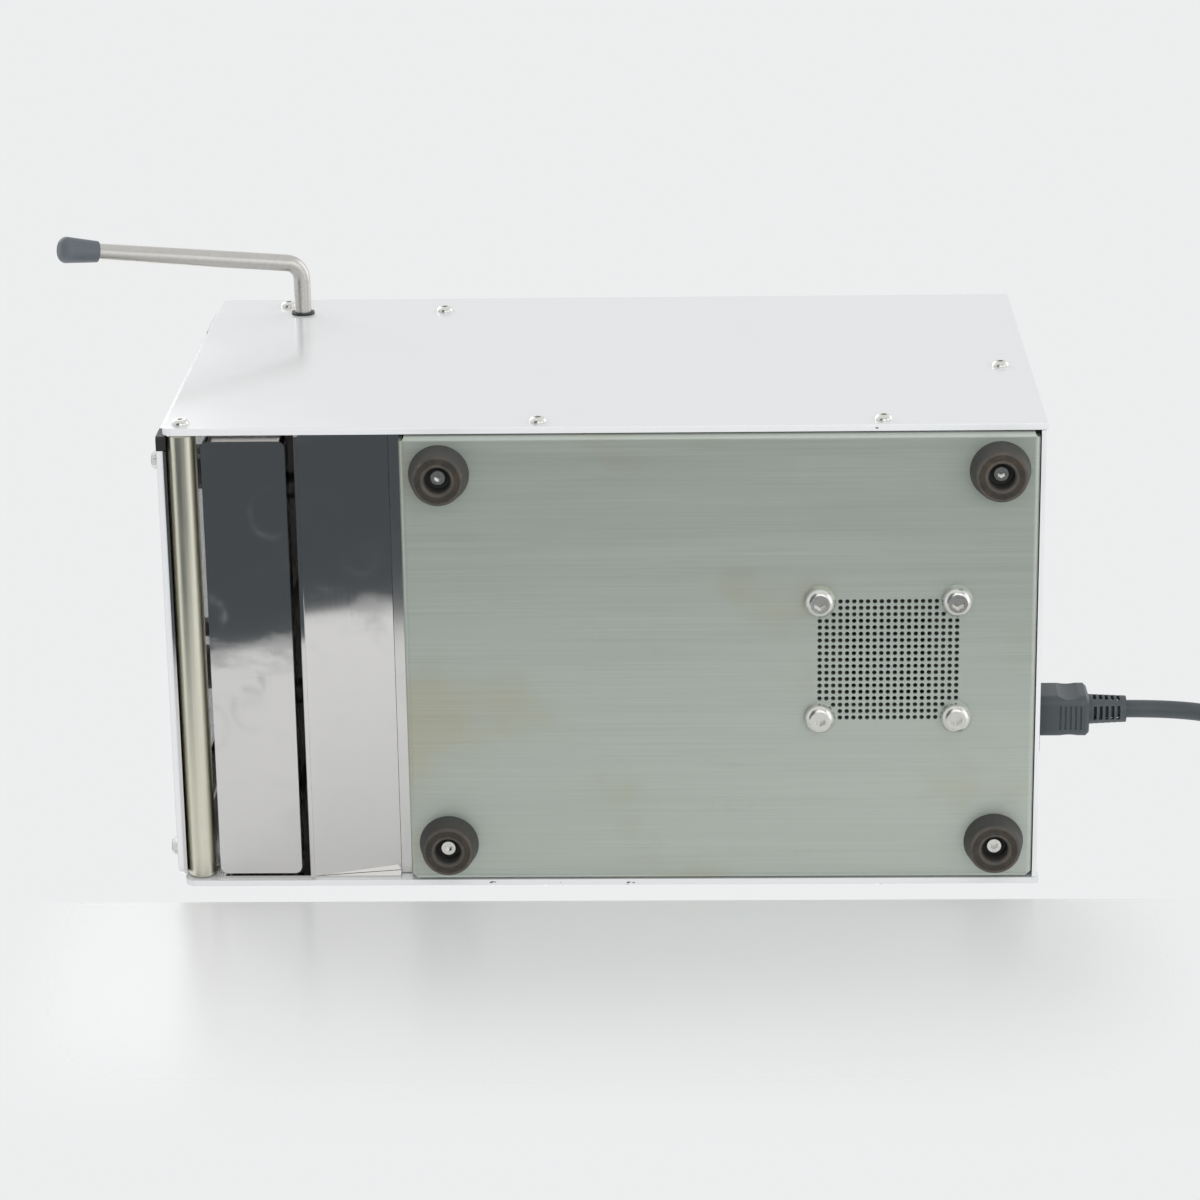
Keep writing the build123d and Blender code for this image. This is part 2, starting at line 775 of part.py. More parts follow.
def make_shaft_bearings():
    x = (bearing_plate_x - bearing_width / 2, bearing_plate_x + bearing_width / 2)
    ring = rod_x(bearing_diameter, x, crank_y, drive_height)
    bore = shaft_diameter + 2 * running_fit
    return both_sides(ring - rod_x(bore, (x[0] - 1, x[1] + 1), crank_y, drive_height))


def pulley(diameter, bore, y, z):
    """A belt wheel with a low rim at each side and a hub towards the machine's middle."""
    x = (pulley_x, pulley_x + pulley_width)
    wheel = rod_x(diameter, x, y, z)
    for rim in ((x[0], x[0] + 0.7), (x[1] - 0.7, x[1])):
        wheel += rod_x(diameter + 3, rim, y, z)
    wheel += rod_x(bore + 10, (x[0] - 5, x[0]), y, z)
    return wheel - rod_x(bore, (x[0] - 6, x[1] + 1), y, z)


def make_belt():
    grow = belt_gap
    plane = Plane(origin=(pulley_x + 1, 0, 0), x_dir=(0, 1, 0), z_dir=(1, 0, 0))
    loops = []
    for extra in (grow + belt_thickness, grow):
        big = Pos(crank_y, drive_height) * Circle(crank_pulley_diameter / 2 + extra)
        small = Pos(motor_y, motor_height) * Circle(motor_pulley_diameter / 2 + extra)
        loops.append(make_hull([*big.edges(), *small.edges()]))
    return extrude(plane * (loops[0] - loops[1]), belt_width)


def make_motor_body():
    half = motor_length / 2
    body = rod_x(motor_diameter, (-half + 8, half - 8), motor_y, motor_height)
    for side in (-1, 1):
        x = sorted((side * half, side * (half - 8)))
        cover = rod_x(motor_diameter - 4, x, motor_y, motor_height)
        outer = cover.faces().sort_by(Axis.X)[-1 if side > 0 else 0]
        body += fillet(outer.edges(), 4)
    bore = motor_shaft_diameter + 2 * running_fit
    return body - rod_x(bore, (half - 40, half + 1), motor_y, motor_height)


def make_motor_mount():
    """A foot frame over the vent grid, with two saddles that carry the motor."""
    x = mount_spacing_x / 2 + m8 + 3
    y = mount_spacing_y / 2 + m8 + 4
    top = sheet + mount_plate
    half_x, half_y = mount_window[0] / 2, mount_window[1] / 2
    saddle_y = mount_spacing_y / 2 - m8 / 2 - 1
    frame = slab((-x, x), (motor_y - y, motor_y + y), (sheet, top))
    for side in (-1, 1):
        saddle_x = sorted((side * half_x, side * (half_x + 8)))
        frame += slab(saddle_x, (motor_y - saddle_y, motor_y + saddle_y), (sheet, top + saddle_rise))
    frame -= slab((-half_x, half_x), (motor_y - half_y, motor_y + half_y), (0, top + 1))
    for px, py in mount_places():
        frame -= rod_z(m8, px, py, (0, top + 1))
    return frame - rod_x(motor_diameter, (-x - 1, x + 1), motor_y, motor_height)


def make_mount_screws():
    screw = Rot(180, 0, 0) * headed_screw(m8_button_head, m8, sheet + mount_plate)
    return [Pos(x, y, 0) * screw for x, y in mount_places()]


# ---------------------------------------------------------------- controls and power


def make_control_fascia():
    half = door_half
    y = (fascia_y, fascia_y + fascia_sheet)
    inner = fascia_y + fascia_depth
    fascia = slab((-half, half), y, (fascia_bottom, fascia_top))
    fascia += slab((-half, half), (y[1], inner), (fascia_bottom, fascia_bottom + fascia_sheet))
    fascia += slab((-half, half), (y[1], door_back), (fascia_top - fascia_sheet, fascia_top))
    for side in (-1, 1):
        notch = sorted((side * (hook_inset - hook_thickness), side * striker_inset))
        fascia -= slab(notch, (door_back + 1.4, inner + 1), (fascia_bottom - 1, fascia_bottom + fascia_sheet + 1))
    cut = (y[0] - 1, inner)
    for x in knob_places.values():
        fascia -= rod_y(spindle_diameter + 2, x, cut, control_height)
    for x in button_places.values():
        fascia -= rod_y(button_diameter + 0.8, x, cut, control_height)
    return fascia - display_box((y[0] - 1, y[1] + 1), 0.4)


def display_box(y, grow):
    half = display_width / 2 + grow
    tall = display_height / 2 + grow
    return slab((display_x - half, display_x + half), y, (control_height - tall, control_height + tall))


def make_control_overlay():
    x = door_half - overlay_margin * 2
    z = (fascia_bottom + overlay_margin, fascia_top - overlay_margin)
    y = (fascia_y - overlay_sheet, fascia_y)
    overlay = fillet(slab((-x, x), y, z).edges().filter_by(Axis.Y), 3)
    for place in knob_places.values():
        overlay -= rod_y(spindle_diameter + 2, place, (y[0] - 1, y[1] + 1), control_height)
    for place in button_places.values():
        overlay -= rod_y(button_diameter + 0.8, place, (y[0] - 1, y[1] + 1), control_height)
    return overlay - display_box((y[0] - 1, y[1] + 1), 0.4)


def make_display_window():
    return display_box((fascia_y - overlay_sheet, board_y - 5), 0)


def make_control_board():
    """The board with its two potentiometers and two switches soldered on."""
    half = hook_inset - hook_thickness - 4
    z = (fascia_bottom + fascia_sheet + 2, fascia_top - 7)
    board = slab((-half, half), (board_y, board_y + board_sheet), z)
    for x in knob_places.values():
        low = control_height - 8
        body = slab((x - 8, x + 8), (fascia_y + fascia_sheet + 0.3, board_y), (low, low + 16))
        board += body - rod_y(spindle_diameter + 0.1, x, (fascia_y, board_y), control_height)
    for x in button_places.values():
        front = fascia_y + 7.5
        board += slab((x - 5, x + 5), (front, board_y), (control_height - 5, control_height + 5))
    rear = board_y - 5
    board += slab((display_x - 24, display_x + 24), (rear + 0.1, board_y), (control_height - 8, control_height + 8))
    return board


def make_knob(x):
    """A round control knob with a grip skirt and its spindle."""
    start = fascia_y - overlay_sheet - 0.4
    knob = rod_y(knob_diameter, x, (start - knob_length, start), control_height)
    knob = fillet(knob.edges().group_by(Axis.Y)[0], 1.4)
    spindle = rod_y(spindle_diameter, x, (start, board_y - 4), control_height)
    flutes = 18
    for i in range(flutes):
        turn = 2 * math.pi * i / flutes
        px = x + (knob_diameter / 2 + 0.5) * math.cos(turn)
        pz = control_height + (knob_diameter / 2 + 0.5) * math.sin(turn)
        knob -= rod_y(2.0, px, (start - knob_length - 1, start - 3), pz)
    return knob + spindle


def make_button(x):
    start = fascia_y - overlay_sheet
    rear = fascia_y + 7.5 - button_travel - 0.3
    button = rod_y(button_diameter, x, (start - 3, rear - 2), control_height)
    button = fillet(button.edges().group_by(Axis.Y)[0], 0.8)
    return button + rod_y(button_diameter - 5, x, (rear - 2, rear), control_height)


def make_power_board():
    """Mains board with its transformer, capacitors and heat sink."""
    bottom = sheet + 8
    top = bottom + 1.6
    board = slab((-60, 60), (12, 88), (bottom, top))
    board += slab((-52, -22), (22, 58), (top, top + 28))
    for x in (-6, 14):
        board += rod_z(16, x, 34, (top, top + 26))
    board += slab((30, 54), (18, 60), (top, top + 4))
    for i in range(5):
        y = 20 + 8.5 * i
        board += slab((30, 54), (y, y + 2.5), (top + 4, top + 22))
    board += slab((-48, -10), (68, 80), (top, top + 10))
    return board


def make_standoffs():
    return [rod_z(7, x, y, (sheet, sheet + 8)) for x in (-54, 54) for y in (16, 84)]


def make_power_inlet():
    """Inlet module: flange, socket with three contacts, and the switch's well above it."""
    width, height, depth = inlet_flange
    low = inlet_z - height / 2 + rocker_rise / 2
    x = (inlet_x - width / 2, inlet_x + width / 2)
    body = slab(x, (rear_outer, rear_outer + depth), (low, low + height))
    body = fillet(body.edges().filter_by(Axis.Y), 3)
    front = rear_outer + depth - socket_size[2] - 5
    body += slab((x[0] + 2.3, x[1] - 2.3), (front, rear_outer), (low + 2.3, low + height - 2.3))
    half_x, half_z = socket_size[0] / 2, socket_size[1] / 2
    mouth = rear_outer + depth
    body -= slab(
        (inlet_x - half_x, inlet_x + half_x),
        (mouth - socket_size[2], mouth + 1),
        (inlet_z - half_z, inlet_z + half_z),
    )
    for px, pz in contact_places():
        body += slab((px - 1, px + 1), (mouth - socket_size[2] - 1, mouth - 3), (pz - 2, pz + 2))
    wide, tall = rocker_size
    z = inlet_z + rocker_rise
    well_x = (inlet_x - wide / 2 - 0.4, inlet_x + wide / 2 + 0.4)
    body -= slab(well_x, (mouth - 16, mouth + 1), (z - tall / 2 - 0.6, z + tall / 2 + 0.6))
    return body - rocker_pivot_pin(2 * running_fit)


def rocker_pivot_pin(grow):
    """The rocker's pivot pin, which turns in the walls of its well."""
    half = rocker_size[0] / 2 + rocker_pin_seat + grow
    return rod_x(rocker_pin + grow, (inlet_x - half, inlet_x + half), *rocker_pivot())


def contact_places():
    return [(inlet_x + 2, inlet_z), (inlet_x - 2, inlet_z - 7), (inlet_x - 2, inlet_z + 7)]


def rocker_pivot():
    return rear_outer + inlet_flange[2] - 7, inlet_z + rocker_rise


def make_switch_rocker():
    """A rocker at rest in its off position, with its upper half standing out."""
    wide, tall = rocker_size
    y, z = rocker_pivot()
    tilt = rocker_swing / 2
    slope = math.tan(math.radians(tilt))
    half = tall / 2 - 0.5
    outline = Polyline(
        (-3.5, -half + 2),
        (-3.5, half - 2),
        (6.5 + half * slope, half),
        (6.5, 0),
        (6.5 + half * slope, -half),
        (-3.5, -half + 2),
    )
    body = extrude(Plane.YZ * make_face(outline), wide / 2, both=True)
    return Location((inlet_x, y, z), (-tilt, 0, 0)) * body + rocker_pivot_pin(0)


# ---------------------------------------------------------------- mains lead


def make_connector():
    """The lead's moulded inlet connector and its slotted strain relief."""
    mouth = rear_outer + inlet_flange[2]
    width, height, length = connector_size
    half_x = socket_size[0] / 2 - plug_gap
    half_z = socket_size[1] / 2 - plug_gap
    nose_front = mouth - socket_size[2] + plug_gap
    start = mouth + 0.2
    end = start + length
    body = slab((-width / 2, width / 2), (start, end), (-height / 2, height / 2))
    body = fillet(body.edges().filter_by(Axis.Y), 4)
    body = chamfer(body.faces().sort_by(Axis.Y)[-1].outer_wire().edges(), 1.4)
    for side in (-1, 1):
        grip = Location((side * (width / 2 + 9.2), end - 9, 0)) * Cylinder(10.4, height + 2)
        body -= grip
        for i in range(5):
            y = end - 13.5 + 2.3 * i
            body -= slab((-5.5, 5.5), (y, y + 0.9), sorted((side * (height / 2 - 0.7), side * (height / 2 + 1))))
    body += slab((-half_x, half_x), (nose_front, start), (-half_z, half_z))
    for px, pz in contact_places():
        px, pz = px - inlet_x, pz - inlet_z
        body -= slab((px - 1.4, px + 1.4), (nose_front - 1, mouth - 1), (pz - 2.4, pz + 2.4))
    sleeve_end = cord_route[0][1]
    sleeve = Cone(relief_start / 2, relief_end / 2, sleeve_end - end, align=(Align.CENTER, Align.CENTER, Align.MIN))
    sleeve = Location((0, end, 0), (-90, 0, 0)) * sleeve
    slots = 5
    for i in range(slots):
        y = end + 2.4 + (sleeve_end - end - 4) * i / slots
        for side in (-1, 1):
            sleeve -= slab(sorted((side * 2.6, side * 8)), (y, y + 1.4), (-3.2, 3.2))
            sleeve -= slab((-3.2, 3.2), (y, y + 1.4), sorted((side * 2.6, side * 8)))
    return Pos(inlet_x, 0, inlet_z) * (body + sleeve)


def corner_radii(points):
    """An arc for each inner corner, as large as its two runs allow."""
    radii = []
    for before, here, after in zip(points, points[1:], points[2:]):
        into = Vector(*here) - Vector(*before)
        out_of = Vector(*after) - Vector(*here)
        turn = math.radians(into.get_angle(out_of))
        radii.append(0.45 * min(into.length, out_of.length) / math.tan(turn / 2))
    return radii


def make_cord_run():
    radii = corner_radii(cord_route)
    print("cord run radii", [round(r, 1) for r in radii])
    path = FilletPolyline(*cord_route, radius=radii)
    start = Vector(*cord_route[0])
    along = Vector(*cord_route[1]) - start
    tube = sweep(Plane(origin=start, z_dir=along) * Circle(cord_diameter / 2), path)
    section = math.pi * cord_diameter**2 / 4
    print("cord run length", round(path.length, 1), "volume ratio", round(tube.volume / section / path.length, 4))
    return tube, path.length


def coil_centre():
    """The coil's first turn leaves the cord's last point towards the rear."""
    x, y, z = cord_route[-1]
    return Vector(x + coil_radius(0), y, z)


def coil_radius(turn):
    """The turns spiral in to the least radius and out again, one pitch a turn."""
    return coil_least_radius + coil_pitch * abs(turn - coil_turns / 2)


def coil_point(turn):
    """A point of the coil: the lower layer, a climb over half a turn in the middle, the upper layer."""
    climbed = min(max(turn - coil_turns / 2 + 0.25, 0) * 2, 1)
    rise = coil_pitch * climbed**2 * (3 - 2 * climbed)
    angle = math.pi * (1 - 2 * turn)
    radius = coil_radius(turn)
    return coil_centre() + Vector(radius * math.cos(angle), radius * math.sin(angle), rise)


def coil_tangent(turn):
    if turn in (0, coil_turns):
        angle = math.pi * (1 - 2 * turn)
        return Vector(math.sin(angle), -math.cos(angle), 0)
    step = 0.002
    return (coil_point(turn + step) - coil_point(turn - step)).normalized()


def biarc(start, start_way, end, end_way):
    """Two arcs that leave start and reach end along the given ways."""
    chord = end - start
    ways = start_way + end_way
    spare = 2 * (1 - start_way.dot(end_way))
    along = chord.dot(ways)
    reach = (math.sqrt(along**2 + spare * chord.dot(chord)) - along) / spare
    middle = (start + end + (start_way - end_way) * reach) * 0.5
    first = TangentArc(start, middle, tangent=start_way)
    second = TangentArc(end, middle, tangent=end_way * -1)
    return [first, second]


def make_cord_coil():
    """The put-away length as one unbroken tube, in two layers, with a straight tail to the plug."""
    steps = int(coil_turns * 4)
    turns = [i / 4 for i in range(steps + 1)]
    edges = []
    for a, b in zip(turns, turns[1:]):
        edges += biarc(coil_point(a), coil_tangent(a), coil_point(b), coil_tangent(b))
    end = coil_point(coil_turns)
    way = coil_tangent(coil_turns)
    edges.append(Line(end, end + way * coil_tail))
    path = Wire([e.edge() for e in edges])
    start = coil_point(0)
    tube = sweep(Plane(origin=start, z_dir=coil_tangent(0)) * Circle(cord_diameter / 2), path)
    report_self_gap(edges)
    section = math.pi * cord_diameter**2 / 4
    print("coil length", round(path.length, 1), "volume ratio", round(tube.volume / section / path.length, 4))
    return tube, path.length


def report_self_gap(edges):
    """Least distance between stretches of the coil over a third of a turn apart, less the cord."""
    points, along, travelled = [], [], 0.0
    for edge in edges:
        for i in range(12):
            points.append(edge @ (i / 12))
            along.append(travelled + edge.length * i / 12)
        travelled += edge.length
    third = 2 * math.pi * coil_least_radius / 3
    least = min(
        (p - q).length
        for i, p in enumerate(points)
        for j, q in enumerate(points[:i])
        if along[i] - along[j] > third
    )
    print("coil least self gap", round(least - cord_diameter, 3))


def plug_plane():
    """The plug's own axes: Z along the cord's end, with the machine's Z as its upright."""
    way = coil_tangent(coil_turns)
    return Plane(origin=coil_point(coil_turns) + way * coil_tail, x_dir=(0, 0, 1), z_dir=way)


def make_plug():
    length, width, height = plug_size
    relief, wide, narrow = plug_relief
    sleeve = Cone(narrow / 2, wide / 2, relief, align=(Align.CENTER, Align.CENTER, Align.MIN))
    body = Pos(0, 0, relief + length / 2) * Box(height, width, length)
    body = fillet(body.edges().filter_by(Axis.Z), 5)
    body = fillet(body.faces().sort_by(Axis.Z)[0].outer_wire().edges(), 3)
    for side in (-1, 1):
        body -= Location((0, side * (width / 2 + 11), relief + 14), (0, 90, 0)) * Cylinder(13, height + 2)
    return plug_plane() * (sleeve + body)


def make_plug_pins():
    """Two flat blades and a round earth pin."""
    start = plug_relief[0] + plug_size[0]
    pins = []
    for side in (-1, 1):
        pins.append(Pos(2.5, side * 6.35, start + 8) * Box(6.3, 1.5, 16))
    pins.append(Pos(-6.2, 0, start + 9) * Cylinder(2.4, 18))
    return [plug_plane() * pin for pin in pins]


# ---------------------------------------------------------------- assembly


def build_nodes():
    """Every node's solids, on the machine's datum."""
    panel = make_side_panel()
    paddle = make_paddle()
    push_rod = make_push_rod()
    run, run_length = make_cord_run()
    coil, coil_length = make_cord_coil()
    print("whole cord", round(run_length + coil_length, 1))
    made = {
        "base_plate": [make_base_plate()],
        "rubber_feet": [Pos(x, y, 0) * make_foot() for x, y in foot_places()],
        "foot_fasteners": make_foot_fasteners(),
        "right_side_panel": [panel],
        "left_side_panel": [mirror(panel, about=Plane.YZ)],
        "side_panel_screws": make_panel_screws(),
        "top_cover": [make_top_cover()],
        "rear_panel": [make_rear_panel()],
        "chamber_back_wall": [make_back_wall()],
        "chamber_liners": both_sides(make_liner()),
        "chamber_roof": [make_roof()],
        "splash_sheet": [make_splash_sheet()],
        "drip_tray": [make_drip_tray()],
        "door_panel": [make_door_panel()],
        "door_window": [make_door_window()],
        "door_gasket": [make_door_gasket()],
        "door_inner_plate": [make_door_inner_plate()],
        "door_hinge_bar": [make_hinge_bar()],
        "door_hinge_bushes": make_hinge_bushes(),
        "door_bumpers": make_door_bumpers(),
        "door_corner_block": [make_corner_block()],
        "door_handle": [make_door_handle()],
        "lever_rod": [make_lever_rod()],
        "lever_cap": [make_lever_cap()],
        "lever_bushes": make_lever_bushes(),
        "latch_hooks": make_latch_hooks(),
        "right_paddle": [paddle],
        "left_paddle": [mirror(paddle, about=Plane.YZ)],
        "right_push_rod": [push_rod],
        "left_push_rod": [mirror(push_rod, about=Plane.YZ)],
        "guide_bushes": make_guide_bushes(),
        "bearing_plates": make_bearing_plates(),
        "shaft_bearings": make_shaft_bearings(),
        "crankshaft": [make_crankshaft()],
        "right_connecting_rod": [make_connecting_rod(1)],
        "left_connecting_rod": [make_connecting_rod(-1)],
        "crank_pulley": [pulley(crank_pulley_diameter, shaft_diameter, crank_y, drive_height)],
        "motor_pulley": [pulley(motor_pulley_diameter, motor_shaft_diameter, motor_y, motor_height)],
        "drive_belt": [make_belt()],
        "motor_body": [make_motor_body()],
        "motor_shaft": [
            rod_x(motor_shaft_diameter, (motor_length / 2 - 38, pulley_x + pulley_width), motor_y, motor_height)
        ],
        "motor_mount": [make_motor_mount()],
        "motor_mount_screws": make_mount_screws(),
        "control_fascia": [make_control_fascia()],
        "control_overlay": [make_control_overlay()],
        "display_window": [make_display_window()],
        "control_board": [make_control_board()],
        "power_board": [make_power_board()],
        "board_standoffs": make_standoffs(),
        "power_inlet": [make_power_inlet()],
        "switch_rocker": [make_switch_rocker()],
        "cord_connector": [make_connector()],
        "cord_run": [run],
        "cord_coil": [coil],
        "mains_plug": [make_plug()],
        "plug_pins": make_plug_pins(),
    }
    for name, x in knob_places.items():
        made[name] = [make_knob(x)]
    for name, x in button_places.items():
        made[name] = [make_button(x)]
    return made


cord_nodes = ("cord_connector", "cord_run", "cord_coil", "mains_plug", "plug_pins")


def row_shift(made):
    """From the machine's datum to the middle of its box at bench level, without the cord."""
    solids = [s for name, shapes in made.items() if name not in cord_nodes for s in shapes]
    box = Compound(children=solids).bounding_box()
    return Vector(-(box.min.X + box.max.X) / 2, -(box.min.Y + box.max.Y) / 2, -box.min.Z)


def main():
    os.makedirs("parts", exist_ok=True)
    made = build_nodes()
    shift = row_shift(made)
    print("shift to the row's origin", [round(v, 3) for v in shift])
    for name, shapes in made.items():
        solids = [s for shape in shapes for s in shape.solids()]
        moved = [Pos(*shift) * solid for solid in solids]
        whole = moved[0] if len(moved) == 1 else Compound(children=moved)
        export_step(whole, f"parts/{name}.step")


main()
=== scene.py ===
"""Finishes, stage and modelled pieces of a paddle blender homogenizer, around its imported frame.

Lengths inside the functions are in metres. Places on the machine are given in millimetres on its own
datum: X = 0 is the middle plane, Y = 0 the base plate's front edge and Z = 0 the base plate's underside.
"""

import math

import bpy
import numpy as np
from bpy.props import FloatProperty, FloatVectorProperty, IntProperty, PointerProperty
from mathutils import Matrix, Vector


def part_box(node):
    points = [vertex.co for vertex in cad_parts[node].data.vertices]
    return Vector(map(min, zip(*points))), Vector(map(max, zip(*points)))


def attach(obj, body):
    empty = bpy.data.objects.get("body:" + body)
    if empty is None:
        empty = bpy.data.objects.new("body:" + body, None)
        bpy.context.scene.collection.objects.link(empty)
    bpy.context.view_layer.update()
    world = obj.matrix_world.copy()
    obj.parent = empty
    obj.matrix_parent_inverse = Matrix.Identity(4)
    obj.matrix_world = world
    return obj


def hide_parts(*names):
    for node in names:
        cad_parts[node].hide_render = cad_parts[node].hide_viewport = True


bl_info = {
    "name": "Paddle blender homogenizer",
    "version": (1, 0, 0),
    "blender": (4, 5, 0),
    "location": "3D View > Sidebar > Paddle blender",
    "description": "Dresses the packed frame of a bench-top paddle blender",
    "category": "Object",
}

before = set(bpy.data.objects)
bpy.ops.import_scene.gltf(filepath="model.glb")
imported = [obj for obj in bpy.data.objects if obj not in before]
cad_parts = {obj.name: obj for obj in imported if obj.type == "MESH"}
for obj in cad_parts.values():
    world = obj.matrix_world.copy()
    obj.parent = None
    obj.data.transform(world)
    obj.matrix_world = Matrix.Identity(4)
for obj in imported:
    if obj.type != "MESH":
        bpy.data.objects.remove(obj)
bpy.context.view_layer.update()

MM = 0.001
base_low, base_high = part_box("base_plate")
DATUM = Vector(((base_low.x + base_high.x) / 2, base_low.y, base_low.z))
CONTROL_Z = 204.5
OVERLAY_Y = -106.1
KNOB_FRONT = -120.5
BENCH_Z = -10.5
KNOB_PLACES = {"time": -74.0, "speed": 30.0}


def at(x, y, z):
    """A place on the machine's datum, in the row's metres."""
    return DATUM + Vector((x, y, z)) * MM


# ---------------------------------------------------------------- settings


def colour(name, about, value):
    return FloatVectorProperty(name=name, description=about, subtype="COLOR", default=value, min=0, max=1)


class ViewSettings(bpy.types.PropertyGroup):
    """Where the photograph was taken from."""

    place: FloatVectorProperty(
        name="Place",
        description="Camera's place on the machine's datum, in millimetres",
        default=(556, 132.3, -1573.5),
    )
    pitch: FloatProperty(
        name="Pitch", description="Turn down towards the table", subtype="ANGLE", default=math.radians(18.53)
    )
    yaw: FloatProperty(
        name="Yaw", description="Turn about the machine's width", subtype="ANGLE", default=math.radians(1.67)
    )
    roll: FloatProperty(
        name="Roll", description="Tilt of the picture", subtype="ANGLE", default=math.radians(-0.88)
    )
    lens: FloatProperty(
        name="Lens", description="Focal length on a 36 mm sensor, in millimetres", default=113.87, min=1
    )


class LightSettings(bpy.types.PropertyGroup):
    """Strengths of the studio light."""

    background: FloatProperty(name="Background", description="Tone behind the machine", default=0.86, min=0)
    room: FloatProperty(name="Room", description="Even light from all around", default=0.66, min=0)
    key: FloatProperty(name="Key", description="Lamp over the machine, in watts", default=9.0, min=0)
    fill: FloatProperty(name="Fill", description="Lamp beside the machine, in watts", default=5.0, min=0)
    under: FloatProperty(name="Under", description="Lamps below the machine, in watts", default=5.5, min=0)
    table_reach: FloatProperty(
        name="Table reach",
        description="Radius of the pale table that bright metal shows",
        default=0.44,
        unit="LENGTH",
    )


class FinishSettings(bpy.types.PropertyGroup):
    """Colours of the machine's materials."""

    coat: colour("White coat", "Enamel on the outer panels", (0.85, 0.862, 0.875))
    zinc: colour("Zinc", "Zinc plated sheet", (0.51, 0.56, 0.51))
    zinc_stain: colour("Zinc stain", "Yellow passivation patches on the zinc", (0.50, 0.47, 0.34))
    stainless: colour("Stainless", "Bright stainless sheet", (0.70, 0.69, 0.675))
    satin: colour("Satin steel", "Drawn stainless bar", (0.60, 0.585, 0.555))
    rubber: colour("Rubber", "Moulded black rubber", (0.055, 0.054, 0.050))
    dust: colour("Dust", "Worn, dusty rubber", (0.115, 0.092, 0.070))
    cap: colour("Lever cap", "Dark grey moulded cap", (0.115, 0.132, 0.150))
    plastic: colour("Black plastic", "Moulded black plastic", (0.022, 0.022, 0.023))
    lead: colour("Mains lead", "Sheath of the mains lead", (0.064, 0.076, 0.082))
    overlay: colour("Overlay", "Film over the controls", (0.115, 0.13, 0.15))
    start: colour("Start button", "Green button", (0.02, 0.30, 0.10))
    stop: colour("Stop button", "Red button", (0.50, 0.025, 0.02))


class LeadSettings(bpy.types.PropertyGroup):
    """Sizes of the mains lead."""

    diameter: FloatProperty(name="Diameter", description="Across the sheath", default=0.008, unit="LENGTH")
    turns: FloatProperty(name="Turns", description="Turns of the put-away coil", default=6.25)
    inner: FloatProperty(
        name="Inner radius", description="Least radius of the coil", default=0.0323, unit="LENGTH"
    )
    pitch: FloatProperty(name="Pitch", description="From one turn to the next", default=0.0086, unit="LENGTH")
    tail: FloatProperty(name="Tail", description="Straight end at the plug", default=0.034, unit="LENGTH")
    per_turn: IntProperty(name="Points a turn", description="Control points in a turn", default=16, min=12)


# ---------------------------------------------------------------- shader maths


def find(sockets, key):
    """A socket by its identifier, else by its name."""
    for socket in sockets:
        if socket.identifier == key:
            return socket
    return sockets[key]


class Value:
    """One output of a material's nodes. Arithmetic on it adds Math nodes."""

    def __init__(self, finish, socket):
        self.finish = finish
        self.socket = socket

    def math(self, operation, first, second=0.0, clamp=False):
        settings = {"operation": operation, "use_clamp": clamp}
        return self.finish.node("ShaderNodeMath", settings, {0: first, 1: second})

    def __add__(self, other):
        return self.math("ADD", self, other)

    def __sub__(self, other):
        return self.math("SUBTRACT", self, other)

    def __rsub__(self, other):
        return self.math("SUBTRACT", other, self)

    def __mul__(self, other):
        return self.math("MULTIPLY", self, other)

    def __truediv__(self, other):
        return self.math("DIVIDE", self, other)

    __radd__ = __add__
    __rmul__ = __mul__

    def distance(self, other):
        """How far two numbers lie apart."""
        return self.math("ABSOLUTE", self - other)

    def clamp(self):
        return self.math("ADD", self, 0.0, clamp=True)

    def step(self, low, high):
        """0 below low and 1 above high, with a smooth rise between."""
        settings = {"interpolation_type": "SMOOTHSTEP"}
        turned = low > high
        first, last = (high, low) if turned else (low, high)
        inputs = {"Value": self, "From Min": first, "From Max": last}
        rise = self.finish.node("ShaderNodeMapRange", settings, inputs)
        return 1 - rise if turned else rise


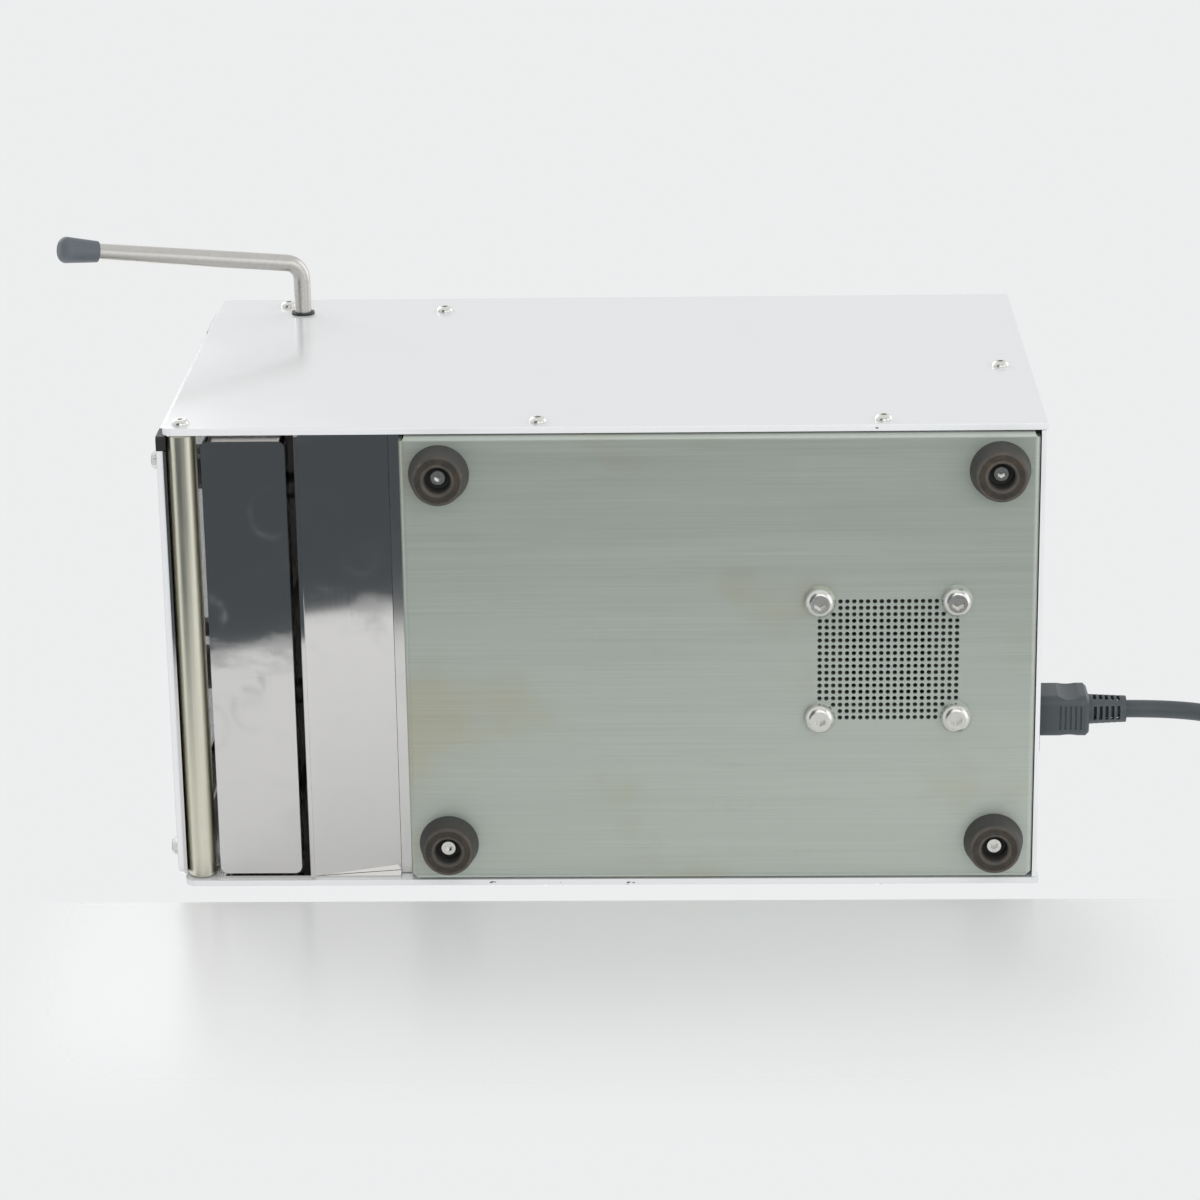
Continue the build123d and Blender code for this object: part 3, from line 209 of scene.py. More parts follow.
class Finish:
    """A material under construction, with a Principled surface."""

    def __init__(self, name, **constants):
        self.material = bpy.data.materials.new(name)
        self.material.use_nodes = True
        self.tree = self.material.node_tree
        self.surface = next(n for n in self.tree.nodes if n.type == "BSDF_PRINCIPLED")
        self.output = next(n for n in self.tree.nodes if n.type == "OUTPUT_MATERIAL")
        for key, value in constants.items():
            self.surface.inputs[key.replace("_", " ")].default_value = value

    def node(self, kind, settings=None, inputs=None, output=0):
        """Adds a node: its settings first, then the values or links of its sockets."""
        made = self.tree.nodes.new(kind)
        for name, value in (settings or {}).items():
            setattr(made, name, value)
        for key, value in (inputs or {}).items():
            self.put(made.inputs[key] if isinstance(key, int) else find(made.inputs, key), value)
        return Value(self, made.outputs[output] if isinstance(output, int) else find(made.outputs, output))

    def put(self, socket, value):
        """Links a value to a socket, or sets the socket to a number or a colour."""
        if isinstance(value, Value):
            self.tree.links.new(value.socket, socket)
        elif hasattr(value, "__len__") and len(value) == 3 and socket.type == "RGBA":
            socket.default_value = (*value, 1.0)
        else:
            socket.default_value = value

    def place(self, stretch=(1, 1, 1), shift=(0, 0, 0), turn=(0, 0, 0)):
        """Object coordinates, scaled so that a stretch of 1000 makes a millimetre the unit."""
        where = self.node("ShaderNodeTexCoord", output="Object")
        inputs = {"Vector": where, "Location": shift, "Rotation": turn, "Scale": stretch}
        return self.node("ShaderNodeMapping", None, inputs)

    def along(self, axis):
        """One of the object's own coordinates, in metres."""
        where = self.node("ShaderNodeTexCoord", output="Object")
        return self.node("ShaderNodeSeparateXYZ", None, {"Vector": where}, output=axis)

    def noise(self, stretch, detail=2.0, rough=0.5, shift=(0, 0, 0), turn=(0, 0, 0)):
        """Noise from 0 to 1, with stretch features in a metre along each axis."""
        place = self.place(stretch, shift, turn)
        inputs = {"Vector": place, "Scale": 1.0, "Detail": detail, "Roughness": rough}
        return self.node("ShaderNodeTexNoise", None, inputs)

    def cells(self, stretch, shift=(0, 0, 0), feature="F1"):
        """The distance to a scattered point or, with another feature, to the border between two cells."""
        inputs = {"Vector": self.place(stretch, shift), "Scale": 1.0}
        return self.node("ShaderNodeTexVoronoi", {"feature": feature}, inputs)

    def mix(self, factor, first, second):
        """The first colour at factor 0 and the second at factor 1."""
        inputs = {"Factor_Float": factor, "A_Color": first, "B_Color": second}
        return self.node("ShaderNodeMix", {"data_type": "RGBA"}, inputs, output="Result_Color")

    def dim(self, tone, factor):
        """A colour multiplied by a number."""
        return self.node("ShaderNodeVectorMath", {"operation": "SCALE"}, {"Vector": tone, "Scale": factor})

    def bump(self, height, distance, strength):
        """A normal that follows a height from 0 to 1, distance metres deep."""
        inputs = {"Height": height, "Distance": distance, "Strength": strength}
        return self.node("ShaderNodeBump", None, inputs)

    def use(self, **sockets):
        """Feeds sockets of the Principled surface, named with _ for a space."""
        for key, value in sockets.items():
            self.put(self.surface.inputs[key.replace("_", " ")], value)
        return self.material


def dress(material, *names):
    """Gives CAD nodes a material in all their slots."""
    for name in names:
        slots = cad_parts[name].data.materials
        slots.clear()
        slots.append(material)


# ---------------------------------------------------------------- finishes


def enamel(settings, name="white_coat", chip_and_shade_rim=False):
    """White enamel: a soft orange peel, faint dust and, at a sheet's lower rim, small dark marks that are
    partly paint chip damage and partly painted shade.
    """
    f = Finish(name, Metallic=0.0, IOR=1.5, Coat_Weight=0.35, Coat_Roughness=0.08)
    peel = f.noise((420, 420, 420), 2.0)
    dust = f.noise((26, 26, 26), 5.0, 0.62)
    tone = f.mix(dust.step(0.50, 0.78) * 0.04, tuple(settings.coat), (0.62, 0.62, 0.60))
    rough = 0.16 + 0.06 * dust.step(0.42, 0.70)
    if chip_and_shade_rim:
        # Dark marks along the lower rim: partly paint chip damage, partly painted shade beneath the rounded
        # edge.
        low = f.along("Z").step(base_low.z + 0.0035, base_low.z + 0.0008)
        rim_chip_and_shade = f.noise((240, 95, 240), 3.0, 0.6, shift=(1.7, 0.4, 0.2)).step(0.70, 0.72) * low
        tone = f.mix(rim_chip_and_shade, tone, (0.10, 0.085, 0.07))
        rough = rough + 0.35 * rim_chip_and_shade
    return f.use(Base_Color=tone, Roughness=rough, Normal=f.bump(peel, 0.00004, 0.5))


def zinc_sheet(settings, name="zinc_sheet", grain=(1500, 11, 1500)):
    """Zinc plated sheet: rolling streaks, clouds and yellow passivation stains."""
    f = Finish(name, Metallic=0.72)
    streak = f.noise(grain, 4.0, 0.6)
    fine = f.noise(tuple(3 * g for g in grain), 2.0, 0.5, shift=(3, 1, 2))
    band = f.noise((95, 2.2, 95), 3.0, 0.6, shift=(1, 5, 2))
    stain = f.noise((13, 11, 13), 3.0, 0.55, shift=(2.2, 0.35, 0.0)).step(0.52, 0.70)
    spots = f.noise((60, 34, 60), 4.0, 0.6, shift=(0.3, 0.8, 0.1)).step(0.60, 0.74)
    tone = f.mix(0.55 * stain, tuple(settings.zinc), tuple(settings.zinc_stain))
    tone = f.mix(0.35 * spots, tone, (0.50, 0.50, 0.46))
    tone = f.dim(tone, 0.80 + 0.28 * streak + 0.14 * band)
    rough = 0.32 + 0.16 * streak + 0.07 * fine + 0.06 * spots
    return f.use(Base_Color=tone, Roughness=rough, Normal=f.bump(streak + 0.4 * fine, 0.00002, 0.55))


def bright_sheet(settings, name, smears, shift, polish=0.045):
    """Bright rolled stainless with finger smears, wipe marks and a faint grain."""
    f = Finish(name, Metallic=1.0)
    grain = f.noise((14, 900, 900), 3.0, 0.6, shift=shift)
    wobble = f.noise((16, 16, 16), 1.0, 0.4, shift=shift)
    rings = f.cells((30, 38, 38), shift=shift)
    patch = f.noise((45, 45, 45), 3.0, 0.6, shift=shift).step(0.42, 0.60)
    ring = (1 - rings.distance(0.34) / 0.11).clamp() * patch
    wipe = f.noise((70, 26, 60), 4.0, 0.65, shift=shift, turn=(0, 0, 0.5)).step(0.50, 0.72)
    smear = smears * (0.65 * ring + 0.45 * wipe)
    rough = polish + 0.035 * grain + 0.16 * smear
    tone = f.mix(0.30 * smear, tuple(settings.stainless), (0.60, 0.60, 0.60))
    height = 0.10 * grain + wobble
    return f.use(Base_Color=tone, Roughness=rough, Normal=f.bump(height, 0.00011, 0.35))


def satin_steel(settings, name, grain, polish=0.16, tone=None):
    """Drawn or brushed stainless, with its grain along one axis."""
    f = Finish(name, Metallic=1.0)
    line = f.noise(grain, 4.0, 0.6)
    cloud = f.noise((55, 55, 55), 3.0, 0.6)
    clean = tone or tuple(settings.satin)
    tone = f.dim(f.mix(0.4 * cloud, clean, tuple(0.84 * c for c in clean)), 0.88 + 0.24 * line)
    rough = polish + 0.15 * line + 0.07 * cloud
    return f.use(Base_Color=tone, Roughness=rough, Normal=f.bump(line, 0.00002, 0.5))


def screw_steel():
    """Small turned heads: bright steel with patches of grime."""
    f = Finish("screw_steel", Metallic=1.0)
    speck = f.noise((900, 900, 900), 3.0, 0.6)
    grime = f.noise((180, 180, 180), 3.0, 0.6).step(0.60, 0.80)
    tone = f.mix(0.35 * grime, (0.76, 0.755, 0.72), (0.45, 0.43, 0.38))
    rough = 0.20 + 0.10 * speck + 0.15 * grime
    return f.use(Base_Color=tone, Roughness=rough, Normal=f.bump(speck, 0.00002, 0.4))


def foot_rubber(settings):
    """Black rubber feet with brown, dusty end faces."""
    f = Finish("foot_rubber", Specular_IOR_Level=0.45)
    grain = f.noise((1100, 1100, 1100), 3.0, 0.6)
    cloud = f.noise((150, 150, 150), 4.0, 0.6)
    end = f.along("Z").step(0.0012, 0.0001) * (0.15 + 0.75 * cloud.step(0.35, 0.70))
    side = cloud.step(0.55, 0.80) * 0.22
    tone = f.mix((end + side).clamp(), tuple(settings.rubber), tuple(settings.dust))
    rough = 0.46 + 0.22 * cloud + 0.2 * end
    return f.use(Base_Color=tone, Roughness=rough, Normal=f.bump(grain, 0.00004, 0.5))


def moulded(name, tone, rough=0.42, grain=800, depth=0.00003):
    """Moulded plastic or rubber: a spark-eroded grain and uneven gloss."""
    f = Finish(name)
    fine = f.noise((grain, grain, grain), 2.0, 0.6)
    patch = f.noise((70, 70, 70), 4.0, 0.6)
    lighter = tuple(min(1.0, 1.6 * c + 0.012) for c in tone)
    shade = f.mix(0.36 * patch.step(0.45, 0.75), tuple(tone), lighter)
    return f.use(Base_Color=shade, Roughness=rough + 0.16 * patch, Normal=f.bump(fine, depth, 0.5))


def turned_metal(name, tone, rough=0.30):
    """Machined metal with tool marks."""
    f = Finish(name, Metallic=1.0)
    marks = f.noise((1500, 60, 60), 3.0, 0.6)
    cloud = f.noise((60, 60, 60), 3.0, 0.6)
    shade = f.dim(f.mix(0.3 * cloud, tone, tuple(0.8 * c for c in tone)), 0.88 + 0.24 * marks)
    return f.use(Base_Color=shade, Roughness=rough + 0.16 * marks, Normal=f.bump(marks, 0.00002, 0.5))


def painted_casting():
    """Dark paint over the pores of a casting."""
    f = Finish("motor_paint", IOR=1.5)
    pores = f.noise((700, 700, 700), 4.0, 0.65)
    cloud = f.noise((40, 40, 40), 3.0, 0.6)
    tone = f.mix(cloud * 0.5, (0.030, 0.034, 0.038), (0.055, 0.058, 0.060))
    return f.use(Base_Color=tone, Roughness=0.42 + 0.25 * cloud, Normal=f.bump(pores, 0.00012, 0.6))


def circuit_board():
    """Green solder mask with faint copper tracks."""
    f = Finish("circuit_board", IOR=1.5, Coat_Weight=0.4)
    track = f.cells((260, 260, 260), feature="DISTANCE_TO_EDGE").step(0.10, 0.05)
    cloud = f.noise((80, 80, 80), 2.0)
    tone = f.mix(0.45 * track, (0.012, 0.105, 0.045), (0.04, 0.22, 0.09))
    return f.use(Base_Color=tone, Roughness=0.30 + 0.2 * cloud)


def clear_pane():
    """Polished clear pane."""
    f = Finish("clear_pane", Transmission_Weight=1.0, IOR=1.49)
    haze = f.noise((35, 35, 35), 4.0, 0.6)
    return f.use(Base_Color=(0.97, 0.98, 0.98), Roughness=0.015 + 0.05 * haze.step(0.5, 0.8))


def clear_soft():
    """Clear soft bumper, slightly yellow."""
    f = Finish("clear_soft", Transmission_Weight=0.75, IOR=1.45)
    haze = f.noise((300, 300, 300), 3.0, 0.6)
    tone = f.mix(haze * 0.4, (0.92, 0.93, 0.90), (0.80, 0.80, 0.74))
    return f.use(Base_Color=tone, Roughness=0.16 + 0.20 * haze)


# ---------------------------------------------------------------- surfaces


def surface(name, points, material, body):
    """Rings of points, counted [ring, place in it], as quads from each ring to the next.

    Every ring closes on itself. A fan of triangles about the mean of its points closes each end.
    """
    rings, around = points.shape[:2]
    index = np.arange(rings * around).reshape(rings, around)
    index = np.hstack([index, index[:, :1]])
    quads = np.stack([index[:-1, :-1], index[1:, :-1], index[1:, 1:], index[:-1, 1:]], axis=-1)
    middles = [points[0].mean(axis=0), points[-1].mean(axis=0)]
    vertices = np.vstack([points.reshape(-1, 3), middles])
    first = np.full(around, rings * around)
    start = np.stack([index[0, :-1], index[0, 1:], first], axis=-1)
    end = np.stack([index[-1, 1:], index[-1, :-1], first + 1], axis=-1)
    mesh = bpy.data.meshes.new(name)
    mesh.from_pydata(vertices.tolist(), [], quads.reshape(-1, 4).tolist() + start.tolist() + end.tolist())
    mesh.update()
    piece(name, mesh, material, body)


def piece(name, mesh, material, body, smooth=True):
    """Links a finished mesh as a piece that rides on a body."""
    made = bpy.data.objects.new(name, mesh)
    bpy.context.scene.collection.objects.link(made)
    mesh.materials.clear()
    mesh.materials.append(material)
    if smooth:
        mesh.shade_smooth()
    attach(made, body)


def frame_of(axis):
    """An axis as a unit vector, with two more that are square to it and to each other."""
    along = np.array(axis, float) / np.linalg.norm(axis)
    helper = np.array((0.0, 0.0, 1.0)) if abs(along[2]) < 0.9 else np.array((1.0, 0.0, 0.0))
    side = np.cross(helper, along)
    side /= np.linalg.norm(side)
    return along, side, np.cross(along, side)


def turned(profile, place, axis):
    """Points of a turned shape: each (radius, height) of the profile goes once round the axis.

    The point at angle a is place + height * axis + radius * (cos a * side + sin a * up).
    """
    around = 64
    along, side, up = frame_of(axis)
    angle = np.linspace(0, 2 * np.pi, around, endpoint=False)
    ring = np.cos(angle)[None, :, None] * side + np.sin(angle)[None, :, None] * up
    return np.array(place) + profile[:, 1, None, None] * along + profile[:, 0, None, None] * ring


def rounded(points, radius):
    """A profile with its inner corners rounded.

    Each corner gives way to (1 - t)^2 * start + 2 t (1 - t) * corner + t^2 * end, with t from 0 to 1.
    Start and end lie on the corner's two sides, a radius away or at most 0.45 of the side.
    """
    steps = 6
    points = [np.array(p, float) for p in points]
    out = [points[0]]
    for before, here, after in zip(points, points[1:], points[2:]):
        reach = min(radius, 0.45 * np.linalg.norm(here - before), 0.45 * np.linalg.norm(after - here))
        start = here + (before - here) / np.linalg.norm(before - here) * reach
        end = here + (after - here) / np.linalg.norm(after - here) * reach
        t = np.linspace(0, 1, steps)[:, None]
        out += list((1 - t) ** 2 * start + 2 * t * (1 - t) * here + t**2 * end)
    out.append(points[-1])
    return np.array(out)


def bars(name, plates, front, thick, material, body):
    """Thin bars on a face towards the operator.

    Each plate is (x, z, half width, half height, turn). Its corners are the centre plus the turned
    (+-half width, +-half height), from the face at front to thick before it, in millimetres.
    """
    plates = np.array(plates, float)
    signs = np.array([(-1, -1), (1, -1), (1, 1), (-1, 1)], float)
    local = signs[None] * plates[:, None, 2:4]
    cosine, sine = np.cos(plates[:, 4])[:, None], np.sin(plates[:, 4])[:, None]
    x = plates[:, 0, None] + cosine * local[..., 0] - sine * local[..., 1]
    z = plates[:, 1, None] + sine * local[..., 0] + cosine * local[..., 1]
    back = np.stack([x, np.full_like(x, front), z], axis=-1)
    corners = np.concatenate([back, back - (0, thick, 0)], axis=1).reshape(-1, 3)
    box = np.array([(4, 5, 6, 7), (3, 2, 1, 0), (0, 1, 5, 4), (1, 2, 6, 5), (2, 3, 7, 6), (3, 0, 4, 7)])
    faces = (np.arange(len(plates))[:, None, None] * 8 + box).reshape(-1, 4)
    mesh = bpy.data.meshes.new(name)
    mesh.from_pydata((np.array(DATUM) + corners * MM).tolist(), [], faces.tolist())
    mesh.update()
    piece(name, mesh, material, body, smooth=False)


# ---------------------------------------------------------------- stage


def photo_camera(view):
    """The photograph's camera: it looks along +Z, with the machine's right side upwards in the picture."""
    upright = Matrix(((0, 1, 0), (1, 0, 0), (0, 0, -1))).to_4x4()
    turn = Matrix.Rotation(view.yaw, 4, "X") @ upright @ Matrix.Rotation(-view.pitch, 4, "X")
    turn = turn @ Matrix.Rotation(view.roll, 4, "Z")
    data = bpy.data.cameras.new("photo_camera")
    data.sensor_width = 36
    data.lens = view.lens
    data.clip_end = 50
    camera = bpy.data.objects.new("photo_camera", data)
    camera.matrix_world = Matrix.Translation(at(*view.place)) @ turn
    bpy.context.scene.collection.objects.link(camera)
    bpy.context.scene.camera = camera


def lamp(name, place, aim, size, power):
    """A square lamp, size metres wide, at one place on the datum and turned to another."""
    data = bpy.data.lights.new(name, "AREA")
    data.size = size
    data.energy = power
    made = bpy.data.objects.new(name, data)
    made.location = at(*place)
    made.rotation_euler = (at(*aim) - at(*place)).to_track_quat("-Z", "Y").to_euler()
    bpy.context.scene.collection.objects.link(made)


def studio_world(lights):
    """An even pale room. Camera, glossy and transmitted rays see the background's tone."""
    world = bpy.data.worlds.new("studio")
    bpy.context.scene.world = world
    world.use_nodes = True
    nodes, links = world.node_tree.nodes, world.node_tree.links
    nodes.clear()
    path = nodes.new("ShaderNodeLightPath")
    seen = path.outputs["Is Camera Ray"]
    for ray in ("Is Glossy Ray", "Is Transmission Ray"):
        either = nodes.new("ShaderNodeMath")
        either.operation = "MAXIMUM"
        links.new(seen, either.inputs[0])
        links.new(path.outputs[ray], either.inputs[1])
        seen = either.outputs[0]
    tones = []
    for tone, strength in (((1, 1, 1), lights.room), ((0.985, 0.995, 1.0), lights.background)):
        shine = nodes.new("ShaderNodeBackground")
        shine.inputs["Color"].default_value = (*tone, 1)
        shine.inputs["Strength"].default_value = strength
        tones.append(shine)
    mix = nodes.new("ShaderNodeMixShader")
    out = nodes.new("ShaderNodeOutputWorld")
    links.new(seen, mix.inputs[0])
    links.new(tones[0].outputs[0], mix.inputs[1])
    links.new(tones[1].outputs[0], mix.inputs[2])
    links.new(mix.outputs[0], out.inputs["Surface"])


def level_square(reach, z):
    """Corners of a level square about the datum, in millimetres."""
    return [(-reach, -reach, z), (reach, -reach, z), (reach, reach, z), (-reach, reach, z)]


def flat_plane(name, corners, material):
    """A flat face of the stage between corners on the datum."""
    mesh = bpy.data.meshes.new(name)
    mesh.from_pydata([tuple(at(*c)) for c in corners], [], [tuple(range(len(corners)))])
    made = bpy.data.objects.new(name, mesh)
    mesh.materials.append(material)
    bpy.context.scene.collection.objects.link(made)
    return made


def one_sided(name, tone, fade=None, rough=0.5):
    """A matt surface that is there from its front only. A fade thins it for the camera."""
    f = Finish(name, Roughness=rough)
    f.put(f.surface.inputs["Base Color"], tone)
    behind = f.node("ShaderNodeNewGeometry", output="Backfacing")
    if fade is not None:
        camera_ray = f.node("ShaderNodeLightPath", output="Is Camera Ray")
        behind = (behind + camera_ray * (1 - fade(f))).clamp()
    clear = f.node("ShaderNodeBsdfTransparent")
    shown = Value(f, f.surface.outputs[0])
    mixed = f.node("ShaderNodeMixShader", None, {0: behind, 1: shown, 2: clear})
    f.tree.links.new(mixed.socket, f.output.inputs["Surface"])
    return f.material


class PADDLE_OT_stage(bpy.types.Operator):
    """Camera, lamps, room, bench and the table that the machine lay on in the photograph"""

    bl_idname = "paddle.stage"
    bl_label = "Stage"

    def execute(self, context):
        scene = context.scene
        lights = scene.paddle_lights
        scene.view_settings.view_transform = "Standard"
        photo_camera(scene.paddle_view)
        studio_world(lights)

        def near(f):
            """1 within 0.55 m of the origin and 0 beyond 1.25 m."""
            spot = f.node("ShaderNodeVectorMath", {"operation": "LENGTH"}, {0: f.place()}, output="Value")
            return spot.step(1.25, 0.55)

        bench = one_sided("bench_top", (0.82, 0.825, 0.83), near)
        bench_top = flat_plane("bench_top", level_square(9000, BENCH_Z), bench)
        bench_top.visible_diffuse = False
        bench_top.visible_glossy = False
        bench_top.visible_shadow = False
        self.make_table(lights)
        self.make_card()
        self.make_lamps(lights)
        return {"FINISHED"}

    def make_table(self, lights):
        """A pale disc under the machine's left side, cut off where the bench begins."""
        left = -109.45
        centre_y, centre_z = 78.0, 66.0
        rim = BENCH_Z - 0.5
        radius = lights.table_reach / MM
        angle = np.linspace(math.pi, 2 * math.pi, 97)
        y = centre_y + radius * np.cos(angle)
        z = np.minimum(centre_z + radius * np.sin(angle), rim)
        corners = [(left, a, b) for a, b in zip(y, z)]

        def fade(f):
            """1 near the machine, and falling to 0 to either side of it and towards the camera."""
            away = f.along("Y").distance(at(0, 90, 0).y).step(0.27, 0.18)
            return away * f.along("Z").step(at(0, 0, -260).z, at(0, 0, -60).z)

        table = flat_plane("table_top", corners, one_sided("table_top", (0.93, 0.935, 0.94), fade, 0.3))
        table.visible_shadow = False

    def make_card(self):
        """A dark card behind the camera, which only glossy rays see."""
        behind_camera = -1900
        dark = Finish("dark_room", Roughness=1.0).use(Base_Color=(0.085, 0.098, 0.108))
        card = flat_plane("dark_room", level_square(2600, behind_camera), dark)
        card.visible_camera = False
        card.visible_diffuse = False
        card.visible_shadow = False
        card.visible_transmission = False

    def make_lamps(self, lights):
        middle = (0, 90, 110)
        lamp("key", (700, -900, 1500), middle, 1.2, lights.key)
        lamp("fill", (-1300, -500, 800), middle, 1.4, lights.fill)
        lamp("rear", (400, 1500, 900), middle, 1.4, lights.fill)
        lamp("under_key", (700, 250, -1350), (0, 90, 0), 1.2, lights.under)
        lamp("under_fill", (300, 1300, -1100), (0, 150, 0), 1.4, lights.under)


# ---------------------------------------------------------------- pieces


class PADDLE_OT_casing(bpy.types.Operator):
    """Enamelled panels, zinc plated base and the fasteners that hold them"""

    bl_idname = "paddle.casing"
    bl_label = "Casing"

    def execute(self, context):
        settings = context.scene.paddle_finish
        coat = enamel(settings)
        # The side panels get a coat with dark marks at the lower rim: partly paint chip damage, partly
        # painted shade.
        chipped_and_shaded_coat = enamel(settings, "white_coat_rim_chip_and_shade", chip_and_shade_rim=True)
        dress(chipped_and_shaded_coat, "right_side_panel", "left_side_panel")
        dress(coat, "top_cover", "rear_panel", "control_fascia")
        dress(zinc_sheet(settings), "base_plate")
        dress(foot_rubber(settings), "rubber_feet")
        dress(screw_steel(), "side_panel_screws", "foot_fasteners", "motor_mount_screws")
        return {"FINISHED"}


class PADDLE_OT_chamber(bpy.types.Operator):
    """Stainless sheets of the blending chamber and its drip tray"""

    bl_idname = "paddle.chamber"
    bl_label = "Chamber"

    def execute(self, context):
        settings = context.scene.paddle_finish
        dress(bright_sheet(settings, "tray_steel", smears=1.0, shift=(0.3, 0.2, 0)), "drip_tray")
        dress(bright_sheet(settings, "splash_steel", smears=0.45, shift=(4, 2, 1)), "splash_sheet")
        wall = bright_sheet(settings, "chamber_steel", smears=0.5, shift=(7, 5, 3), polish=0.10)
        dress(wall, "chamber_back_wall", "chamber_liners", "chamber_roof")
        return {"FINISHED"}


class PADDLE_OT_door(bpy.types.Operator):
    """The drop-down door with its pane, hinge bar and pull"""

    bl_idname = "paddle.door"
    bl_label = "Door"

    def execute(self, context):
        settings = context.scene.paddle_finish
        dress(enamel(settings, "door_coat"), "door_panel")
        inner = bright_sheet(settings, "door_steel", smears=0.4, shift=(9, 1, 4), polish=0.09)
        dress(inner, "door_inner_plate")
        dress(clear_pane(), "door_window")
        dress(moulded("gasket_rubber", settings.rubber, 0.55), "door_gasket")
        bar = satin_steel(settings, "hinge_bar_steel", (40, 1500, 1500), 0.22, (0.80, 0.785, 0.66))
        dress(bar, "door_hinge_bar")
        dress(moulded("bush_plastic", (0.62, 0.60, 0.54), 0.4), "door_hinge_bushes", "guide_bushes")
        dress(clear_soft(), "door_bumpers")
        dress(moulded("black_plastic", settings.plastic), "door_corner_block", "door_handle")
        return {"FINISHED"}


class PADDLE_OT_lever(bpy.types.Operator):
    """The bent lever with its cap, and the latch hooks on its shaft"""

    bl_idname = "paddle.lever"
    bl_label = "Lever"

    def execute(self, context):
        settings = context.scene.paddle_finish
        dress(satin_steel(settings, "lever_steel", grain=(500, 500, 500), polish=0.2), "lever_rod")
        dress(moulded("lever_cap_rubber", settings.cap, 0.4, grain=500), "lever_cap")
        dress(moulded("bush_black", settings.plastic), "lever_bushes")
        dress(satin_steel(settings, "hook_steel", grain=(900, 60, 900)), "latch_hooks")
        return {"FINISHED"}


class PADDLE_OT_drive(bpy.types.Operator):
    """Paddles, push rods, crank, belt and motor"""

    bl_idname = "paddle.drive"
    bl_label = "Drive"

    def execute(self, context):
        settings = context.scene.paddle_finish
        paddles = satin_steel(settings, "paddle_steel", grain=(1500, 1500, 30), polish=0.2)
        dress(paddles, "right_paddle", "left_paddle")
        rods = satin_steel(settings, "rod_steel", grain=(60, 1500, 60), polish=0.10)
        dress(rods, "right_push_rod", "left_push_rod", "crankshaft", "motor_shaft", "shaft_bearings")
        dress(zinc_sheet(settings, "bracket_zinc", (1500, 1500, 30)), "bearing_plates")
        # Near-black painted shade: the mount is this dark so that the holes in front of it read as dark.
        dress(moulded("mount_painted_shade", (0.012, 0.012, 0.012), 0.5), "motor_mount")
        alloy = turned_metal("alloy", (0.62, 0.62, 0.61))
        dress(alloy, "right_connecting_rod", "left_connecting_rod", "crank_pulley", "motor_pulley")
        dress(moulded("belt_rubber", (0.02, 0.02, 0.02), 0.6), "drive_belt")
        dress(painted_casting(), "motor_body")
        return {"FINISHED"}


class PADDLE_OT_controls(bpy.types.Operator):
    """Overlay, display, knobs and buttons"""

    bl_idname = "paddle.controls"
    bl_label = "Controls"

    def execute(self, context):
        settings = context.scene.paddle_finish
        dress(moulded("overlay_film", settings.overlay, 0.38, grain=1200), "control_overlay")
        dress(moulded("display_face", (0.03, 0.04, 0.035), 0.12, depth=0.00001), "display_window")
        dress(moulded("knob_plastic", settings.plastic, 0.36), "time_knob", "speed_knob")
        dress(moulded("start_plastic", settings.start, 0.3), "start_button")
        dress(moulded("stop_plastic", settings.stop, 0.3), "stop_button")
        dress(circuit_board(), "control_board", "power_board")
        return {"FINISHED"}


class PADDLE_OT_marks(bpy.types.Operator):
    """Ticks round the knobs, their pointers and caps, and the digits of the display"""

    bl_idname = "paddle.marks"
    bl_label = "Marks"

    def execute(self, context):
        ink = moulded("mark_ink", (0.78, 0.79, 0.78), 0.45, depth=0.00001)
        self.make_ticks(ink)
        cap = turned_metal("knob_cap", (0.66, 0.66, 0.65), 0.26)
        profile = [(0.05, 0.0), (7.2, 0.0), (7.2, 0.35), (6.8, 0.6), (0.05, 0.6)]
        for name, x in KNOB_PLACES.items():
            body = f"{name}_dial"
            points = turned(rounded(profile, 0.2) * MM, at(x, KNOB_FRONT, CONTROL_Z), (0, -1, 0))
            surface(f"{name}_knob_cap", points, cap, body)
            plates = [(x, CONTROL_Z + 8.7, 0.5, 1.1, 0.0)]
            bars(f"{name}_pointer", plates, KNOB_FRONT, 0.15, ink, body)
        self.make_digits()
        return {"FINISHED"}

    def make_ticks(self, ink):
        """Ticks round each knob, over the 150 degrees that it turns either way. Every second one is long."""
        ring = 12.1
        plates = []
        for x in KNOB_PLACES.values():
            for i in range(21):
                turn = math.radians(-150 + 15 * i)
                half = 0.85 if i % 2 == 0 else 0.5
                reach = ring + half
                side, up = -reach * math.sin(turn), reach * math.cos(turn)
                plates.append((x + side, CONTROL_Z + up, 0.16, half, turn))
        bars("dial_ticks", plates, OVERLAY_Y, 0.06, ink, "housing")

    def make_digits(self):
        """The figures 1:30, each drawn with up to seven bars."""
        wide, tall = 2.6, 5.0
        segments = {
            "a": (0, tall, wide, 0.45),
            "g": (0, 0, wide, 0.45),
            "d": (0, -tall, wide, 0.45),
            "f": (-wide - 0.4, tall / 2, 0.45, tall / 2 - 0.4),
            "b": (wide + 0.4, tall / 2, 0.45, tall / 2 - 0.4),
            "e": (-wide - 0.4, -tall / 2, 0.45, tall / 2 - 0.4),
            "c": (wide + 0.4, -tall / 2, 0.45, tall / 2 - 0.4),
        }
        plates = [(-25.2, CONTROL_Z + z, 0.5, 0.5, 0.0) for z in (-2.2, 2.2)]
        for x, lit in ((-33.0, "bc"), (-18.5, "abcdg"), (-8.0, "abcdef")):
            for key in lit:
                side, up, half_x, half_z = segments[key]
                plates.append((x + side, CONTROL_Z + up, half_x, half_z, 0.0))
        glow = Finish("display_lit", Roughness=0.4, Emission_Strength=0.9)
        shade = glow.noise((300, 300, 300), 2.0)
        tone = glow.mix(0.3 * shade, (0.15, 0.95, 0.45), (0.10, 0.75, 0.35))
        glow.use(Base_Color=(0.02, 0.08, 0.04), Emission_Color=tone)
        bars("display_digits", plates, OVERLAY_Y, 0.05, glow.material, "housing")


